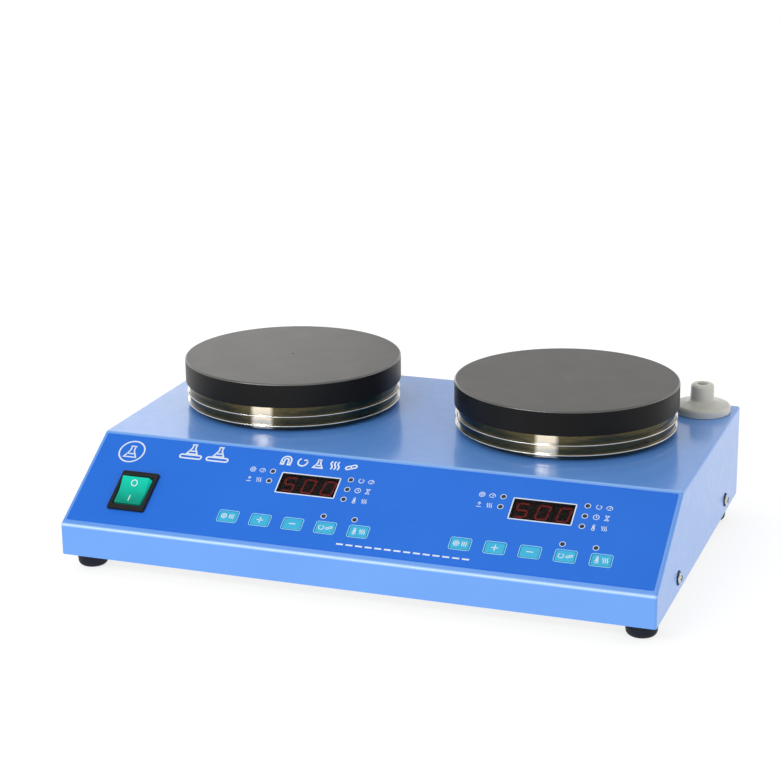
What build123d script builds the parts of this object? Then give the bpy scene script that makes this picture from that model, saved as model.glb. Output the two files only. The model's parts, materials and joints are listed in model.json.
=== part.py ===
from build123d import *
import os
from math import atan2, cos, radians, sin, tan

# A bench stirrer with two heated plates. Each plate stands on posts over a motor that turns a pair
# of magnets, and a sloping control panel runs along the front. Sizes are in millimetres. The floor
# is z = 0, +X is to the operator's right, +Y is to the back, and the origin is on the floor under
# the middle of the whole object.

os.makedirs("parts", exist_ok=True)

# ---------------------------------------------------------------- driving dimensions

WIDTH = 380.0  # housing, side to side
DEPTH = 246.0  # housing, front to back
HOUSING_HEIGHT = 61.0  # from the lower rim of the shell to its flat top
FRONT_HEIGHT = 20.0  # upright strip below the panel
PANEL_RUN = 67.0  # how far the slope reaches back
FOOT_HEIGHT = 11.5
REAR_REACH = 6.0  # how far the connectors stand out at the back
SHEET = 1.2  # steel sheet of shell and tray
CORNER_R = 1.8  # upright corners of the shell
EDGE_R = 1.5  # folded edges of the shell
FIT_GAP = 0.3  # between pieces that move against each other

PLATE_R = 72.5
PLATE_THICK = 16.0
PLATE_PITCH = 190.0  # between the centres of the two plates
PLATE_SHIFT = -3.3  # both plates stand this far to the left, which leaves room for the rod socket
PLATE_SETBACK = 42.4  # plate centres behind the middle of the housing
PLATE_LIFT = 78.0  # underside of a plate above the lower rim of the shell
SKIRT_R = 70.2
RIM_R = 71.7
RIM_THICK = 0.8
RIM_LIFTS = (65.3, 71.6)  # middle of each rim above the lower rim of the shell
SKIRT_DROP = 1.9  # how far the skirt reaches below its lower rim

FILM_THICK = 0.5
KEY_WIDTH = 12.4
KEY_LENGTH = 8.4
KEY_CORNER = 1.4
KEY_PITCH = 21.4
KEY_TRAVEL = 0.5
WINDOW_WIDTH = 39.2
WINDOW_LENGTH = 16.5
LAMP_R = 1.3
BEZEL_WIDTH = 25.6
BEZEL_LENGTH = 30.8
SWITCH_HOLE_WIDTH = BEZEL_WIDTH - 3.6
SWITCH_HOLE_LENGTH = BEZEL_LENGTH - 3.0
ROCKER_WIDTH = 18.0
ROCKER_TILT = 10.0  # to each side of level

SHAFT_R = 2.5
SHAFT_PLAY = 0.05  # radial, in the motor's bearings

# ---------------------------------------------------------------- places that follow from them

BASE_Z = FOOT_HEIGHT
LIP_Z = BASE_Z + FRONT_HEIGHT
TOP_Z = BASE_Z + HOUSING_HEIGHT
CEILING_Z = TOP_Z - SHEET
TRAY_Z = BASE_Z + SHEET  # upper face of the base tray
FRONT_Y = -(DEPTH + REAR_REACH) / 2
REAR_Y = FRONT_Y + DEPTH
FOLD_Y = FRONT_Y + PANEL_RUN
SIDE_X = WIDTH / 2

PANEL_RISE = HOUSING_HEIGHT - FRONT_HEIGHT
PANEL_ANGLE = atan2(PANEL_RISE, PANEL_RUN)
# On the panel, x runs to the right, y up the slope from the lower fold, and z out of the panel.
PANEL = Plane(
    origin=(0, FRONT_Y, LIP_Z),
    x_dir=(1, 0, 0),
    z_dir=(0, -sin(PANEL_ANGLE), cos(PANEL_ANGLE)),
)
# On the back wall, x runs to the left of the object, y up and z out of the wall.
BACK = Plane(origin=(0, REAR_Y, 0), x_dir=(-1, 0, 0), z_dir=(0, 1, 0))

PLATE_Y = FRONT_Y + DEPTH / 2 + PLATE_SETBACK
PLATE_BOTTOM_Z = BASE_Z + PLATE_LIFT
PLATE_X = {"left": PLATE_SHIFT - PLATE_PITCH / 2, "right": PLATE_SHIFT + PLATE_PITCH / 2}

# ---------------------------------------------------------------- panel layout

CONTROLS_X = {"left": -40.0, "right": 110.0}  # middle of each group of controls
FILM_LOW = 4.3
FILM_HIGH = 75.9
FILM_SIDE = 2.8  # blue margin left beside the film
FILM_CORNER = 0.6
KEY_NAMES = ("set", "plus", "minus", "stir", "heat")
KEY_Y = 20.5
WINDOW_Y = 51.6
LAMP_SPOTS = [(-26.0, 59.5), (-26.0, 51.7), (26.0, 59.5), (26.0, 51.7), (26.0, 43.9)]
LAMP_SPOTS += [(17.7, 29.3), (37.8, 29.3)]
STANDOFF_SPOTS = [(-50.0, 36.0), (50.0, 36.0), (-50.0, 64.0), (50.0, 64.0)]
SWITCH_SPOT = (-151.1, 31.0)

BOARD_TOP = -9.4  # component side of a control board, below the panel's surface
BOARD_THICK = 1.6
BOARD_WIDTH = 108.0
BOARD_LOW = 11.0
BOARD_HIGH = 70.0


def key_places(station):
    """Centres of the five keys of one station, on the panel."""
    first = CONTROLS_X[station] - 2 * KEY_PITCH
    return [(first + KEY_PITCH * number, KEY_Y) for number in range(len(KEY_NAMES))]


def panel_places(station, spots):
    """Moves spots given about one station's middle to their place on the panel."""
    return [(CONTROLS_X[station] + x, y) for x, y in spots]


STATIONS = ("left", "right")
ALL_KEYS = key_places("left") + key_places("right")
ALL_LAMPS = panel_places("left", LAMP_SPOTS) + panel_places("right", LAMP_SPOTS)
ALL_STANDOFFS = panel_places("left", STANDOFF_SPOTS) + panel_places("right", STANDOFF_SPOTS)
ALL_WINDOWS = [(CONTROLS_X[station], WINDOW_Y) for station in STATIONS]

# ---------------------------------------------------------------- fastener and connector places

SIDE_SCREW_BACK = (58.4, 202.5)  # behind the front face
SIDE_SCREW_UP = 9.5  # above the lower rim of the shell
FOOT_X = SIDE_X - 12.4
FOOT_YS = {"front": FRONT_Y + 18.0, "rear": REAR_Y - 25.0}
POST_R = 52.5
POST_COUNT = 3
ROD_SOCKET_X = 168.0
ROD_SOCKET_Y = REAR_Y - 19.5
MOTOR_OPENING_R = 45.0

M4_R = 2.0
M4_HEAD_R = 4.0
SIDE_HEAD_R = 3.6
M4_HEAD_HIGH = 2.3
M4_HOLE_R = 2.2
M4_WASHER_R = 4.5
WASHER_THICK = 0.6

INLET_X = 140.0  # on the back wall, so towards the switch's side
INLET_Z = BASE_Z + 31.0
INLET_SCREW_PITCH = 40.0
SOCKET_XS = (-55.0, -125.0)  # probe sockets, on the back wall
SOCKET_Z = BASE_Z + 31.0
SOCKET_SHELL_R = 6.0


def save(build, name):
    """Labels a finished piece and writes its STEP file."""
    build.part.label = name
    export_step(build.part, f"parts/{name}.step")


# ---------------------------------------------------------------- shell


def wedge(inset, corner, drop):
    """The housing's solid outline, shrunk by inset, with its upright corners rounded."""
    with BuildPart() as block:
        with BuildSketch(Plane.YZ):
            with BuildLine():
                Polyline(
                    (FRONT_Y, BASE_Z - drop),
                    (FRONT_Y, LIP_Z),
                    (FOLD_Y, TOP_Z),
                    (REAR_Y, TOP_Z),
                    (REAR_Y, BASE_Z - drop),
                    close=True,
                )
            make_face()
            offset(amount=-inset, kind=Kind.INTERSECTION)
        extrude(amount=SIDE_X - inset, both=True)
        fillet(block.edges().filter_by(Axis.Z), corner)
    return block


def hollow_shell():
    """Outer wedge with folded edges, less the space inside."""
    outer = wedge(0, CORNER_R, 0)
    inner = wedge(SHEET, CORNER_R - SHEET, 3 * SHEET)
    with BuildPart() as shell:
        add(outer.part)
        upper = shell.edges().filter_by(lambda edge: edge.center().Z > BASE_Z + 1)
        upright = shell.edges().filter_by(Axis.Z)
        fillet(upper - upright, EDGE_R)
        add(inner.part, mode=Mode.SUBTRACT)
    return shell


def make_housing():
    with BuildPart() as housing:
        add(hollow_shell().part)
        # openings in the slope for keys, lamps, windows and the switch
        with BuildSketch(PANEL):
            with Locations(ALL_KEYS):
                RectangleRounded(KEY_WIDTH, KEY_LENGTH, KEY_CORNER)
            with Locations(ALL_LAMPS):
                Circle(LAMP_R + FIT_GAP)
            with Locations(ALL_WINDOWS):
                Rectangle(WINDOW_WIDTH, WINDOW_LENGTH)
            with Locations(SWITCH_SPOT):
                Rectangle(SWITCH_HOLE_WIDTH, SWITCH_HOLE_LENGTH)
        extrude(amount=SHEET * 2, both=True, mode=Mode.SUBTRACT)
        # openings in the flat top for the magnets, the posts and the rod socket's screw
        with BuildSketch(Plane.XY.offset(TOP_Z)):
            for station in STATIONS:
                with Locations((PLATE_X[station], PLATE_Y)):
                    Circle(MOTOR_OPENING_R)
                    with PolarLocations(POST_R, POST_COUNT, start_angle=90):
                        Circle(M4_HOLE_R)
            with Locations((ROD_SOCKET_X, ROD_SOCKET_Y)):
                Circle(M4_HOLE_R)
        extrude(amount=-SHEET * 2, mode=Mode.SUBTRACT)
        # openings in the back wall for the connectors, and cooling slots between them
        with BuildSketch(BACK):
            with Locations((INLET_X, INLET_Z)):
                RectangleRounded(28.2, 29.0, 2.0)
                with GridLocations(INLET_SCREW_PITCH, 0, 2, 1):
                    Circle(1.7)
            with Locations([(x, SOCKET_Z) for x in SOCKET_XS]):
                Circle(SOCKET_SHELL_R + 0.1)
            with Locations((40, BASE_Z + 38)):
                with GridLocations(7, 0, 12, 1):
                    SlotOverall(22, 3, rotation=90)
        extrude(amount=-SHEET * 2, mode=Mode.SUBTRACT)
        # clearance holes for the screws in both sides
        with BuildSketch(Plane.YZ):
            with Locations([(FRONT_Y + back, BASE_Z + SIDE_SCREW_UP) for back in SIDE_SCREW_BACK]):
                Circle(M4_HOLE_R)
        extrude(amount=SIDE_X + 1, both=True, mode=Mode.SUBTRACT)
    save(housing, "housing_shell")


def make_tray():
    """Base tray: a sheet with upturned flanges, inside the shell's lower rim."""
    flange = 16.0
    play = 0.2
    corner = 1.6
    floor_x = WIDTH - 2 * (SHEET + play)
    floor_y = DEPTH - 2 * (SHEET + play)
    middle_y = FRONT_Y + DEPTH / 2
    with BuildPart() as tray:
        with BuildSketch(Plane.XY.offset(BASE_Z)):
            with Locations((0, middle_y)):
                RectangleRounded(floor_x, floor_y, corner)
        extrude(amount=flange)
        with BuildSketch(Plane.XY.offset(TRAY_Z)):
            with Locations((0, middle_y)):
                RectangleRounded(floor_x - 2 * SHEET, floor_y - 2 * SHEET, corner - SHEET)
        extrude(amount=flange, mode=Mode.SUBTRACT)
        # screw holes for feet and motor brackets, and cooling slots under both motors
        with BuildSketch(Plane.XY.offset(BASE_Z)):
            with Locations(foot_places()):
                Circle(M4_HOLE_R)
            with Locations(bracket_screw_places()):
                Circle(M4_HOLE_R)
            for x in PLATE_X.values():
                with Locations((x, PLATE_Y)):
                    with GridLocations(8, 0, 7, 1):
                        SlotOverall(42, 3, rotation=90)
        extrude(amount=SHEET, mode=Mode.SUBTRACT)
        with BuildSketch(Plane.YZ):
            with Locations([(FRONT_Y + back, BASE_Z + SIDE_SCREW_UP) for back in SIDE_SCREW_BACK]):
                Circle(M4_R)
        extrude(amount=SIDE_X, both=True, mode=Mode.SUBTRACT)
    save(tray, "base_tray")


# ---------------------------------------------------------------- feet and screws


def foot_places():
    return [(side * FOOT_X, y) for y in FOOT_YS.values() for side in (-1, 1)]


FOOT_TOP_R = 10.2
FOOT_BOTTOM_R = 9.1
FOOT_ROUNDING = 3.4
FOOT_RECESS_R = 4.4
FOOT_RECESS_DEEP = 5.5


def make_foot(name, x, y):
    """Tapered rubber foot with a rounded lower edge and a recess for its screw."""
    with BuildPart() as foot:
        with BuildSketch(Plane(origin=(x, y, 0), x_dir=(1, 0, 0), z_dir=(0, -1, 0))) as section:
            with BuildLine():
                Polyline(
                    (FOOT_RECESS_R, FOOT_RECESS_DEEP),
                    (FOOT_RECESS_R, 0),
                    (FOOT_BOTTOM_R, 0),
                    (FOOT_TOP_R, FOOT_HEIGHT),
                    (M4_HOLE_R, FOOT_HEIGHT),
                    (M4_HOLE_R, FOOT_RECESS_DEEP),
                    close=True,
                )
            make_face()
            lower_corner = section.vertices().group_by(Axis.Y)[0].sort_by(Axis.X)[-1]
            fillet(lower_corner, FOOT_ROUNDING)
        revolve(axis=Axis((x, y, 0), (0, 0, 1)))
    save(foot, name)


def screw_group(seats, radius, head_radius, head_high, washer_radius=0.0):
    """Pan-head screws with a cross recess. A seat is the plane under a head and its shank's length.

    A washer radius gives each screw a captive washer within its head's height.
    """
    with BuildPart() as screws:
        for plane, length in seats:
            with BuildSketch(plane):
                Circle(head_radius)
            extrude(amount=head_high, taper=12)
            with BuildSketch(plane):
                Circle(radius)
            extrude(amount=-length)
            with BuildSketch(plane.offset(head_high)):
                Rectangle(head_radius * 1.1, radius * 0.32)
                Rectangle(radius * 0.32, head_radius * 1.1)
            extrude(amount=-head_high * 0.6, mode=Mode.SUBTRACT)
            if washer_radius:
                with BuildSketch(plane):
                    Circle(washer_radius)
                extrude(amount=WASHER_THICK)
    return screws


def make_side_screws():
    seats = []
    for side in (-1, 1):
        for back in SIDE_SCREW_BACK:
            centre = (side * SIDE_X, FRONT_Y + back, BASE_Z + SIDE_SCREW_UP)
            seats.append((Plane(origin=centre, x_dir=(0, 1, 0), z_dir=(side, 0, 0)), 8.0))
    save(screw_group(seats, M4_R, SIDE_HEAD_R, M4_HEAD_HIGH, M4_WASHER_R), "side_screws")


def post_places():
    """Centres of the posts under both plates."""
    places = []
    for x in PLATE_X.values():
        for number in range(POST_COUNT):
            angle = radians(90 + 360 / POST_COUNT * number)
            places.append((x + POST_R * cos(angle), PLATE_Y + POST_R * sin(angle)))
    return places


def make_inner_screws():
    """M4 screws out of sight: through the feet, up into posts and rod socket, down into the tray."""
    places = [(x, y, FOOT_RECESS_DEEP, -1, 10.0) for x, y in foot_places()]
    places += [(x, y, CEILING_Z, -1, 8.0) for x, y in post_places()]
    places += [(ROD_SOCKET_X, ROD_SOCKET_Y, CEILING_Z, -1, 6.0)]
    places += [(x, y, TRAY_Z + BRACKET_SHEET, 1, 5.0) for x, y in bracket_screw_places()]
    seats = []
    for x, y, z, facing, length in places:
        seats.append((Plane(origin=(x, y, z), x_dir=(1, 0, 0), z_dir=(0, 0, facing)), length))
    save(screw_group(seats, M4_R, M4_HEAD_R, M4_HEAD_HIGH), "inner_screws")


# ---------------------------------------------------------------- panel


def make_film():
    """Printed film on the slope, cut out for everything that shows through it."""
    with BuildPart() as film:
        with BuildSketch(PANEL):
            with Locations((0, (FILM_LOW + FILM_HIGH) / 2)):
                RectangleRounded(WIDTH - 2 * FILM_SIDE, FILM_HIGH - FILM_LOW, FILM_CORNER)
            with Locations(ALL_KEYS):
                RectangleRounded(KEY_WIDTH, KEY_LENGTH, KEY_CORNER, mode=Mode.SUBTRACT)
            with Locations(ALL_LAMPS):
                Circle(LAMP_R + 0.1, mode=Mode.SUBTRACT)
            with Locations(ALL_WINDOWS):
                Rectangle(WINDOW_WIDTH, WINDOW_LENGTH, mode=Mode.SUBTRACT)
            with Locations(SWITCH_SPOT):
                Rectangle(SWITCH_HOLE_WIDTH, SWITCH_HOLE_LENGTH, mode=Mode.SUBTRACT)
        extrude(amount=FILM_THICK)
    save(film, "panel_film")


def make_key(name, place):
    """Flat key: a cap in the film's opening, a collar that keeps it in and a stem over its switch."""
    collar_top = -SHEET - FIT_GAP
    with BuildPart() as key:
        with BuildSketch(PANEL.offset(collar_top)):
            with Locations(place):
                RectangleRounded(KEY_WIDTH - 2 * FIT_GAP, KEY_LENGTH - 2 * FIT_GAP, KEY_CORNER - FIT_GAP)
        extrude(amount=FILM_THICK + 0.15 - collar_top)
        fillet(key.faces().sort_by(Axis(PANEL.origin, PANEL.z_dir))[-1].edges(), 0.2)
        with BuildSketch(PANEL.offset(collar_top)):
            with Locations(place):
                Rectangle(KEY_WIDTH + 2.0, KEY_LENGTH + 2.0)
        extrude(amount=-0.8)
        with BuildSketch(PANEL.offset(collar_top - 0.8)):
            with Locations(place):
                Circle(1.8)
        extrude(amount=TACT_TOP + KEY_TRAVEL + 0.2 - (collar_top - 0.8))
    save(key, name)


TACT_TOP = BOARD_TOP + 4.3  # end of a tact switch's plunger


def make_tact_switches():
    with BuildPart() as switches:
        with BuildSketch(PANEL.offset(BOARD_TOP)):
            with Locations(ALL_KEYS):
                Rectangle(6.0, 6.0)
        extrude(amount=3.5)
        with BuildSketch(PANEL.offset(BOARD_TOP + 3.5)):
            with Locations(ALL_KEYS):
                Circle(1.7)
        extrude(amount=TACT_TOP - BOARD_TOP - 3.5)
    save(switches, "tact_switches")


def make_lamps():
    """Indicator lamps: a lens in the film's hole on a wider spacer that stands on the board."""
    spacer = 6.4
    with BuildPart() as lamps:
        with BuildSketch(PANEL.offset(BOARD_TOP)):
            with Locations(ALL_LAMPS):
                Circle(LAMP_R + 0.7)
        extrude(amount=spacer)
        with BuildSketch(PANEL.offset(BOARD_TOP + spacer)):
            with Locations(ALL_LAMPS):
                Circle(LAMP_R)
        extrude(amount=FILM_THICK - BOARD_TOP - spacer)
    save(lamps, "indicator_lamps")


def make_display(station):
    """Smoked window flush with the film, and the digit module behind it."""
    place = (CONTROLS_X[station], WINDOW_Y)
    with BuildPart() as window:
        with BuildSketch(PANEL.offset(-SHEET)):
            with Locations(place):
                Rectangle(WINDOW_WIDTH - 0.1, WINDOW_LENGTH - 0.1)
        extrude(amount=SHEET + FILM_THICK)
    save(window, f"{station}_display_window")
    with BuildPart() as module:
        with BuildSketch(PANEL.offset(BOARD_TOP)):
            with Locations(place):
                Rectangle(WINDOW_WIDTH - 1.0, WINDOW_LENGTH - 1.0)
        extrude(amount=-SHEET - 0.2 - BOARD_TOP)
    save(module, f"{station}_display_module")


def make_control_board(station):
    """Circuit board parallel to the slope, held by four stand-offs."""
    middle = (BOARD_LOW + BOARD_HIGH) / 2
    with BuildPart() as board:
        with BuildSketch(PANEL.offset(BOARD_TOP - BOARD_THICK)):
            with Locations((CONTROLS_X[station], middle)):
                Rectangle(BOARD_WIDTH, BOARD_HIGH - BOARD_LOW)
            with Locations(panel_places(station, STANDOFF_SPOTS)):
                Circle(1.6, mode=Mode.SUBTRACT)
        extrude(amount=BOARD_THICK)
    save(board, f"{station}_control_board")


def make_standoffs():
    with BuildPart() as standoffs:
        with BuildSketch(PANEL.offset(BOARD_TOP)):
            with Locations(ALL_STANDOFFS):
                RegularPolygon(3.0, 6)
        extrude(amount=-SHEET - BOARD_TOP)
        with BuildSketch(PANEL.offset(BOARD_TOP - BOARD_THICK - 3)):
            with Locations(ALL_STANDOFFS):
                Circle(1.5)
        extrude(amount=BOARD_THICK + 3)
    save(standoffs, "board_standoffs")


# ---------------------------------------------------------------- power switch

SWITCH_WELL_WIDTH = ROCKER_WIDTH + 2 * FIT_GAP
SWITCH_WELL_LENGTH = 22.1
BEZEL_TOP = FILM_THICK + 2.2
PIVOT_DEEP = -3.0  # the rocker's axis below the panel's surface
PIVOT_R = 1.5
PIVOT_LENGTH = 1.2  # how far each trunnion stands out of the rocker
SWITCH_PLANE = PANEL.shift_origin(PANEL.from_local_coords(Vector(*SWITCH_SPOT, 0)))


def rocker_plane(tilt):
    """Plane across the switch through its pivot: x runs up the slope, turned out of it by tilt."""
    pivot = SWITCH_PLANE.from_local_coords(Vector(0, 0, PIVOT_DEEP))
    uphill = PANEL.y_dir * cos(radians(tilt)) + PANEL.z_dir * sin(radians(tilt))
    return Plane(origin=pivot, x_dir=uphill, z_dir=PANEL.x_dir)


def make_switch_body():
    """Black switch body: a bezel over the film, a well for the rocker and four tabs below."""
    with BuildPart() as body:
        with BuildSketch(SWITCH_PLANE.offset(FILM_THICK)):
            RectangleRounded(BEZEL_WIDTH, BEZEL_LENGTH, 1.2)
        extrude(amount=BEZEL_TOP - FILM_THICK, taper=12)
        fillet(body.faces().sort_by(Axis(PANEL.origin, PANEL.z_dir))[-1].edges(), 0.5)
        with BuildSketch(SWITCH_PLANE.offset(FILM_THICK)):
            Rectangle(BEZEL_WIDTH - 4.0, BEZEL_LENGTH - 3.4)
        extrude(amount=-16.0)
        with BuildSketch(SWITCH_PLANE.offset(BEZEL_TOP)):
            Rectangle(SWITCH_WELL_WIDTH, SWITCH_WELL_LENGTH)
        extrude(amount=-14.0, mode=Mode.SUBTRACT)
        with BuildSketch(rocker_plane(0)):
            Circle(PIVOT_R + SHAFT_PLAY)
        extrude(amount=SWITCH_WELL_WIDTH / 2 + PIVOT_LENGTH, both=True, mode=Mode.SUBTRACT)
        with BuildSketch(SWITCH_PLANE.offset(FILM_THICK - 16.0)):
            with GridLocations(12, 12, 2, 2):
                Rectangle(0.8, 6.3)
        extrude(amount=-8.0)
    save(body, "power_switch_body")


def make_rocker():
    """Rocker with a shallow V across its face, drawn on a plane that is tipped to ON."""
    slant = tan(radians(ROCKER_TILT))
    half = (SWITCH_WELL_LENGTH / 2 - FIT_GAP) / cos(radians(ROCKER_TILT))
    end_high = BEZEL_TOP - PIVOT_DEEP + 1.6
    tip = half - end_high * slant
    tipped = rocker_plane(ROCKER_TILT)
    with BuildPart() as rocker:
        with BuildSketch(tipped):
            with BuildLine():
                Polyline(
                    (-tip, end_high),
                    (0, end_high - tip * slant),
                    (tip, end_high),
                    (half, 0),
                    (half - 2 * slant, -2),
                    (4, -2),
                    (2.5, -6),
                    (-2.5, -6),
                    (-4, -2),
                    (2 * slant - half, -2),
                    (-half, 0),
                    close=True,
                )
            make_face()
        extrude(amount=ROCKER_WIDTH / 2, both=True)
        fillet(rocker.edges().filter_by(lambda edge: tipped.to_local_coords(edge.center()).Y > 3), 0.5)
        with BuildSketch(tipped):
            Circle(PIVOT_R)
        extrude(amount=ROCKER_WIDTH / 2 + FIT_GAP + PIVOT_LENGTH - 0.2, both=True)
    save(rocker, "power_rocker")


# ---------------------------------------------------------------- heated plate stack

RECESS_R = 44.0
RECESS_DEEP = 8.0
HEATER_THICK = 6.0
PACKING_THICK = 6.0
SENSOR_R = 3.0


def plate_plane(station, z):
    return Plane(origin=(PLATE_X[station], PLATE_Y, z))


def make_hot_plate(station):
    """Round plate with softened edges, a recess for the heater and tapped holes for its posts."""
    with BuildPart() as plate:
        with BuildSketch(plate_plane(station, PLATE_BOTTOM_Z)):
            Circle(PLATE_R)
        extrude(amount=PLATE_THICK)
        fillet(plate.edges().sort_by(Axis.Z)[-1], 1.2)
        fillet(plate.edges().sort_by(Axis.Z)[0], 0.6)
        with BuildSketch(plate_plane(station, PLATE_BOTTOM_Z)):
            Circle(RECESS_R)
            with PolarLocations(POST_R, POST_COUNT, start_angle=90):
                Circle(M4_R)
        extrude(amount=RECESS_DEEP, mode=Mode.SUBTRACT)
    save(plate, f"{station}_hot_plate")


def make_skirt(station):
    """Polished band under the plate with two thin rims and a floor that the posts pass through."""
    wall = 0.8
    inner_r = SKIRT_R - wall
    floor_z = BASE_Z + RIM_LIFTS[0] - RIM_THICK / 2 - SKIRT_DROP
    with BuildPart() as skirt:
        with BuildSketch(plate_plane(station, floor_z)):
            Circle(SKIRT_R)
            Circle(MOTOR_OPENING_R + 1.5, mode=Mode.SUBTRACT)
            with PolarLocations(POST_R, POST_COUNT, start_angle=90):
                Circle(POST_BODY_R + 0.2, mode=Mode.SUBTRACT)
        extrude(amount=wall)
        with BuildSketch(plate_plane(station, floor_z)):
            Circle(SKIRT_R)
            Circle(inner_r, mode=Mode.SUBTRACT)
        extrude(amount=PLATE_BOTTOM_Z - floor_z)
        outer = skirt.edges().filter_by(GeomType.CIRCLE).filter_by(lambda edge: abs(edge.radius - SKIRT_R) < 0.01)
        fillet(outer.sort_by(Axis.Z)[0], wall)
        for lift in RIM_LIFTS:
            with BuildSketch(plate_plane(station, BASE_Z + lift - RIM_THICK / 2)):
                Circle(RIM_R)
                Circle(inner_r, mode=Mode.SUBTRACT)
            extrude(amount=RIM_THICK)
        rims = skirt.edges().filter_by(GeomType.CIRCLE)
        fillet(rims.filter_by(lambda edge: abs(edge.radius - RIM_R) < 0.01), 0.3)
    save(skirt, f"{station}_plate_skirt")


POST_BODY_R = 4.5


def make_posts():
    """Posts from the shell's top to the undersides of the plates, with a thread at each end."""
    with BuildPart() as posts:
        with BuildSketch(Plane.XY.offset(TOP_Z)):
            with Locations(post_places()):
                Circle(POST_BODY_R)
                Circle(M4_R, mode=Mode.SUBTRACT)
        extrude(amount=PLATE_BOTTOM_Z - TOP_Z)
        with BuildSketch(Plane.XY.offset(TOP_Z + 8)):
            with Locations(post_places()):
                Circle(M4_R)
        extrude(amount=PLATE_BOTTOM_Z + RECESS_DEEP - 1 - TOP_Z - 8)
    save(posts, "plate_posts")


def make_heater_stack(station):
    """Heater disc in the plate's recess, insulation under it and a sensor through both."""
    heater_top = PLATE_BOTTOM_Z + RECESS_DEEP
    heater_bottom = heater_top - HEATER_THICK
    packing_bottom = heater_bottom - PACKING_THICK
    with BuildPart() as heater:
        with BuildSketch(plate_plane(station, heater_bottom)):
            Circle(RECESS_R - 0.5)
            Circle(SENSOR_R + 1, mode=Mode.SUBTRACT)
        extrude(amount=HEATER_THICK)
    save(heater, f"{station}_heater_disc")
    with BuildPart() as packing:
        with BuildSketch(plate_plane(station, packing_bottom)):
            Circle(RECESS_R - 0.5)
            Circle(SENSOR_R + 1, mode=Mode.SUBTRACT)
        extrude(amount=PACKING_THICK)
    save(packing, f"{station}_insulation_disc")
    with BuildPart() as sensor:
        with BuildSketch(plate_plane(station, packing_bottom - 1)):
            Circle(SENSOR_R)
        extrude(amount=heater_top - packing_bottom + 1)
    save(sensor, f"{station}_temperature_sensor")


# ---------------------------------------------------------------- stirring drive

MOTOR_R = 22.0
MOTOR_BOTTOM_Z = TRAY_Z + 9.0
MOTOR_TOP_Z = TRAY_Z + 43.0
MOTOR_BOSS_R = 8.0
BRACKET_SHEET = 2.0
BRACKET_HALF = 32.0  # outside of its two legs
BRACKET_WIDTH = 46.0
BRACKET_FLANGE = 13.0
MAGNET_R = 7.0
MAGNET_REACH = 32.0
ARM_BOTTOM_Z = MOTOR_TOP_Z + 10.5
ARM_TOP_Z = ARM_BOTTOM_Z + 6.0


def bracket_screw_places():
    """Two screws through each flange of both motor brackets."""
    reach = BRACKET_HALF + BRACKET_FLANGE / 2
    spots = []
    for x in PLATE_X.values():
        spots += [(x + side * reach, PLATE_Y + back) for side in (-1, 1) for back in (-15, 15)]
    return spots


def make_bracket(station):
    """Bent bridge over the motor, with flanges on the tray."""
    top_z = MOTOR_TOP_Z + BRACKET_SHEET
    inner_half = BRACKET_HALF - BRACKET_SHEET
    foot_half = BRACKET_HALF + BRACKET_FLANGE
    bridge = Plane(origin=(PLATE_X[station], PLATE_Y, 0), x_dir=(1, 0, 0), z_dir=(0, -1, 0))
    with BuildPart() as bracket:
        with BuildSketch(bridge):
            with BuildLine():
                Polyline(
                    (-foot_half, TRAY_Z),
                    (-inner_half, TRAY_Z),
                    (-inner_half, MOTOR_TOP_Z),
                    (inner_half, MOTOR_TOP_Z),
                    (inner_half, TRAY_Z),
                    (foot_half, TRAY_Z),
                    (foot_half, TRAY_Z + BRACKET_SHEET),
                    (BRACKET_HALF, TRAY_Z + BRACKET_SHEET),
                    (BRACKET_HALF, top_z),
                    (-BRACKET_HALF, top_z),
                    (-BRACKET_HALF, TRAY_Z + BRACKET_SHEET),
                    (-foot_half, TRAY_Z + BRACKET_SHEET),
                    close=True,
                )
            make_face()
        extrude(amount=BRACKET_WIDTH / 2, both=True)
        with BuildSketch(plate_plane(station, MOTOR_TOP_Z)):
            Circle(MOTOR_BOSS_R + 0.2)
        extrude(amount=BRACKET_SHEET, mode=Mode.SUBTRACT)
        with BuildSketch(plate_plane(station, TRAY_Z)):
            with GridLocations(2 * BRACKET_HALF + BRACKET_FLANGE, 30, 2, 2):
                Circle(M4_HOLE_R)
        extrude(amount=BRACKET_SHEET, mode=Mode.SUBTRACT)
    save(bracket, f"{station}_motor_bracket")


def make_motor(station):
    """Motor can with a boss and a bearing bore that is closed at the bottom."""
    with BuildPart() as motor:
        with BuildSketch(plate_plane(station, MOTOR_BOTTOM_Z)):
            Circle(MOTOR_R)
        extrude(amount=MOTOR_TOP_Z - MOTOR_BOTTOM_Z)
        fillet(motor.edges(), 1.5)
        with BuildSketch(plate_plane(station, MOTOR_TOP_Z)):
            Circle(MOTOR_BOSS_R)
        extrude(amount=BRACKET_SHEET + 1)
        with BuildSketch(plate_plane(station, MOTOR_BOTTOM_Z + 4)):
            Circle(SHAFT_R + SHAFT_PLAY)
        extrude(amount=MOTOR_TOP_Z, mode=Mode.SUBTRACT)
    save(motor, f"{station}_motor")


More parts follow.
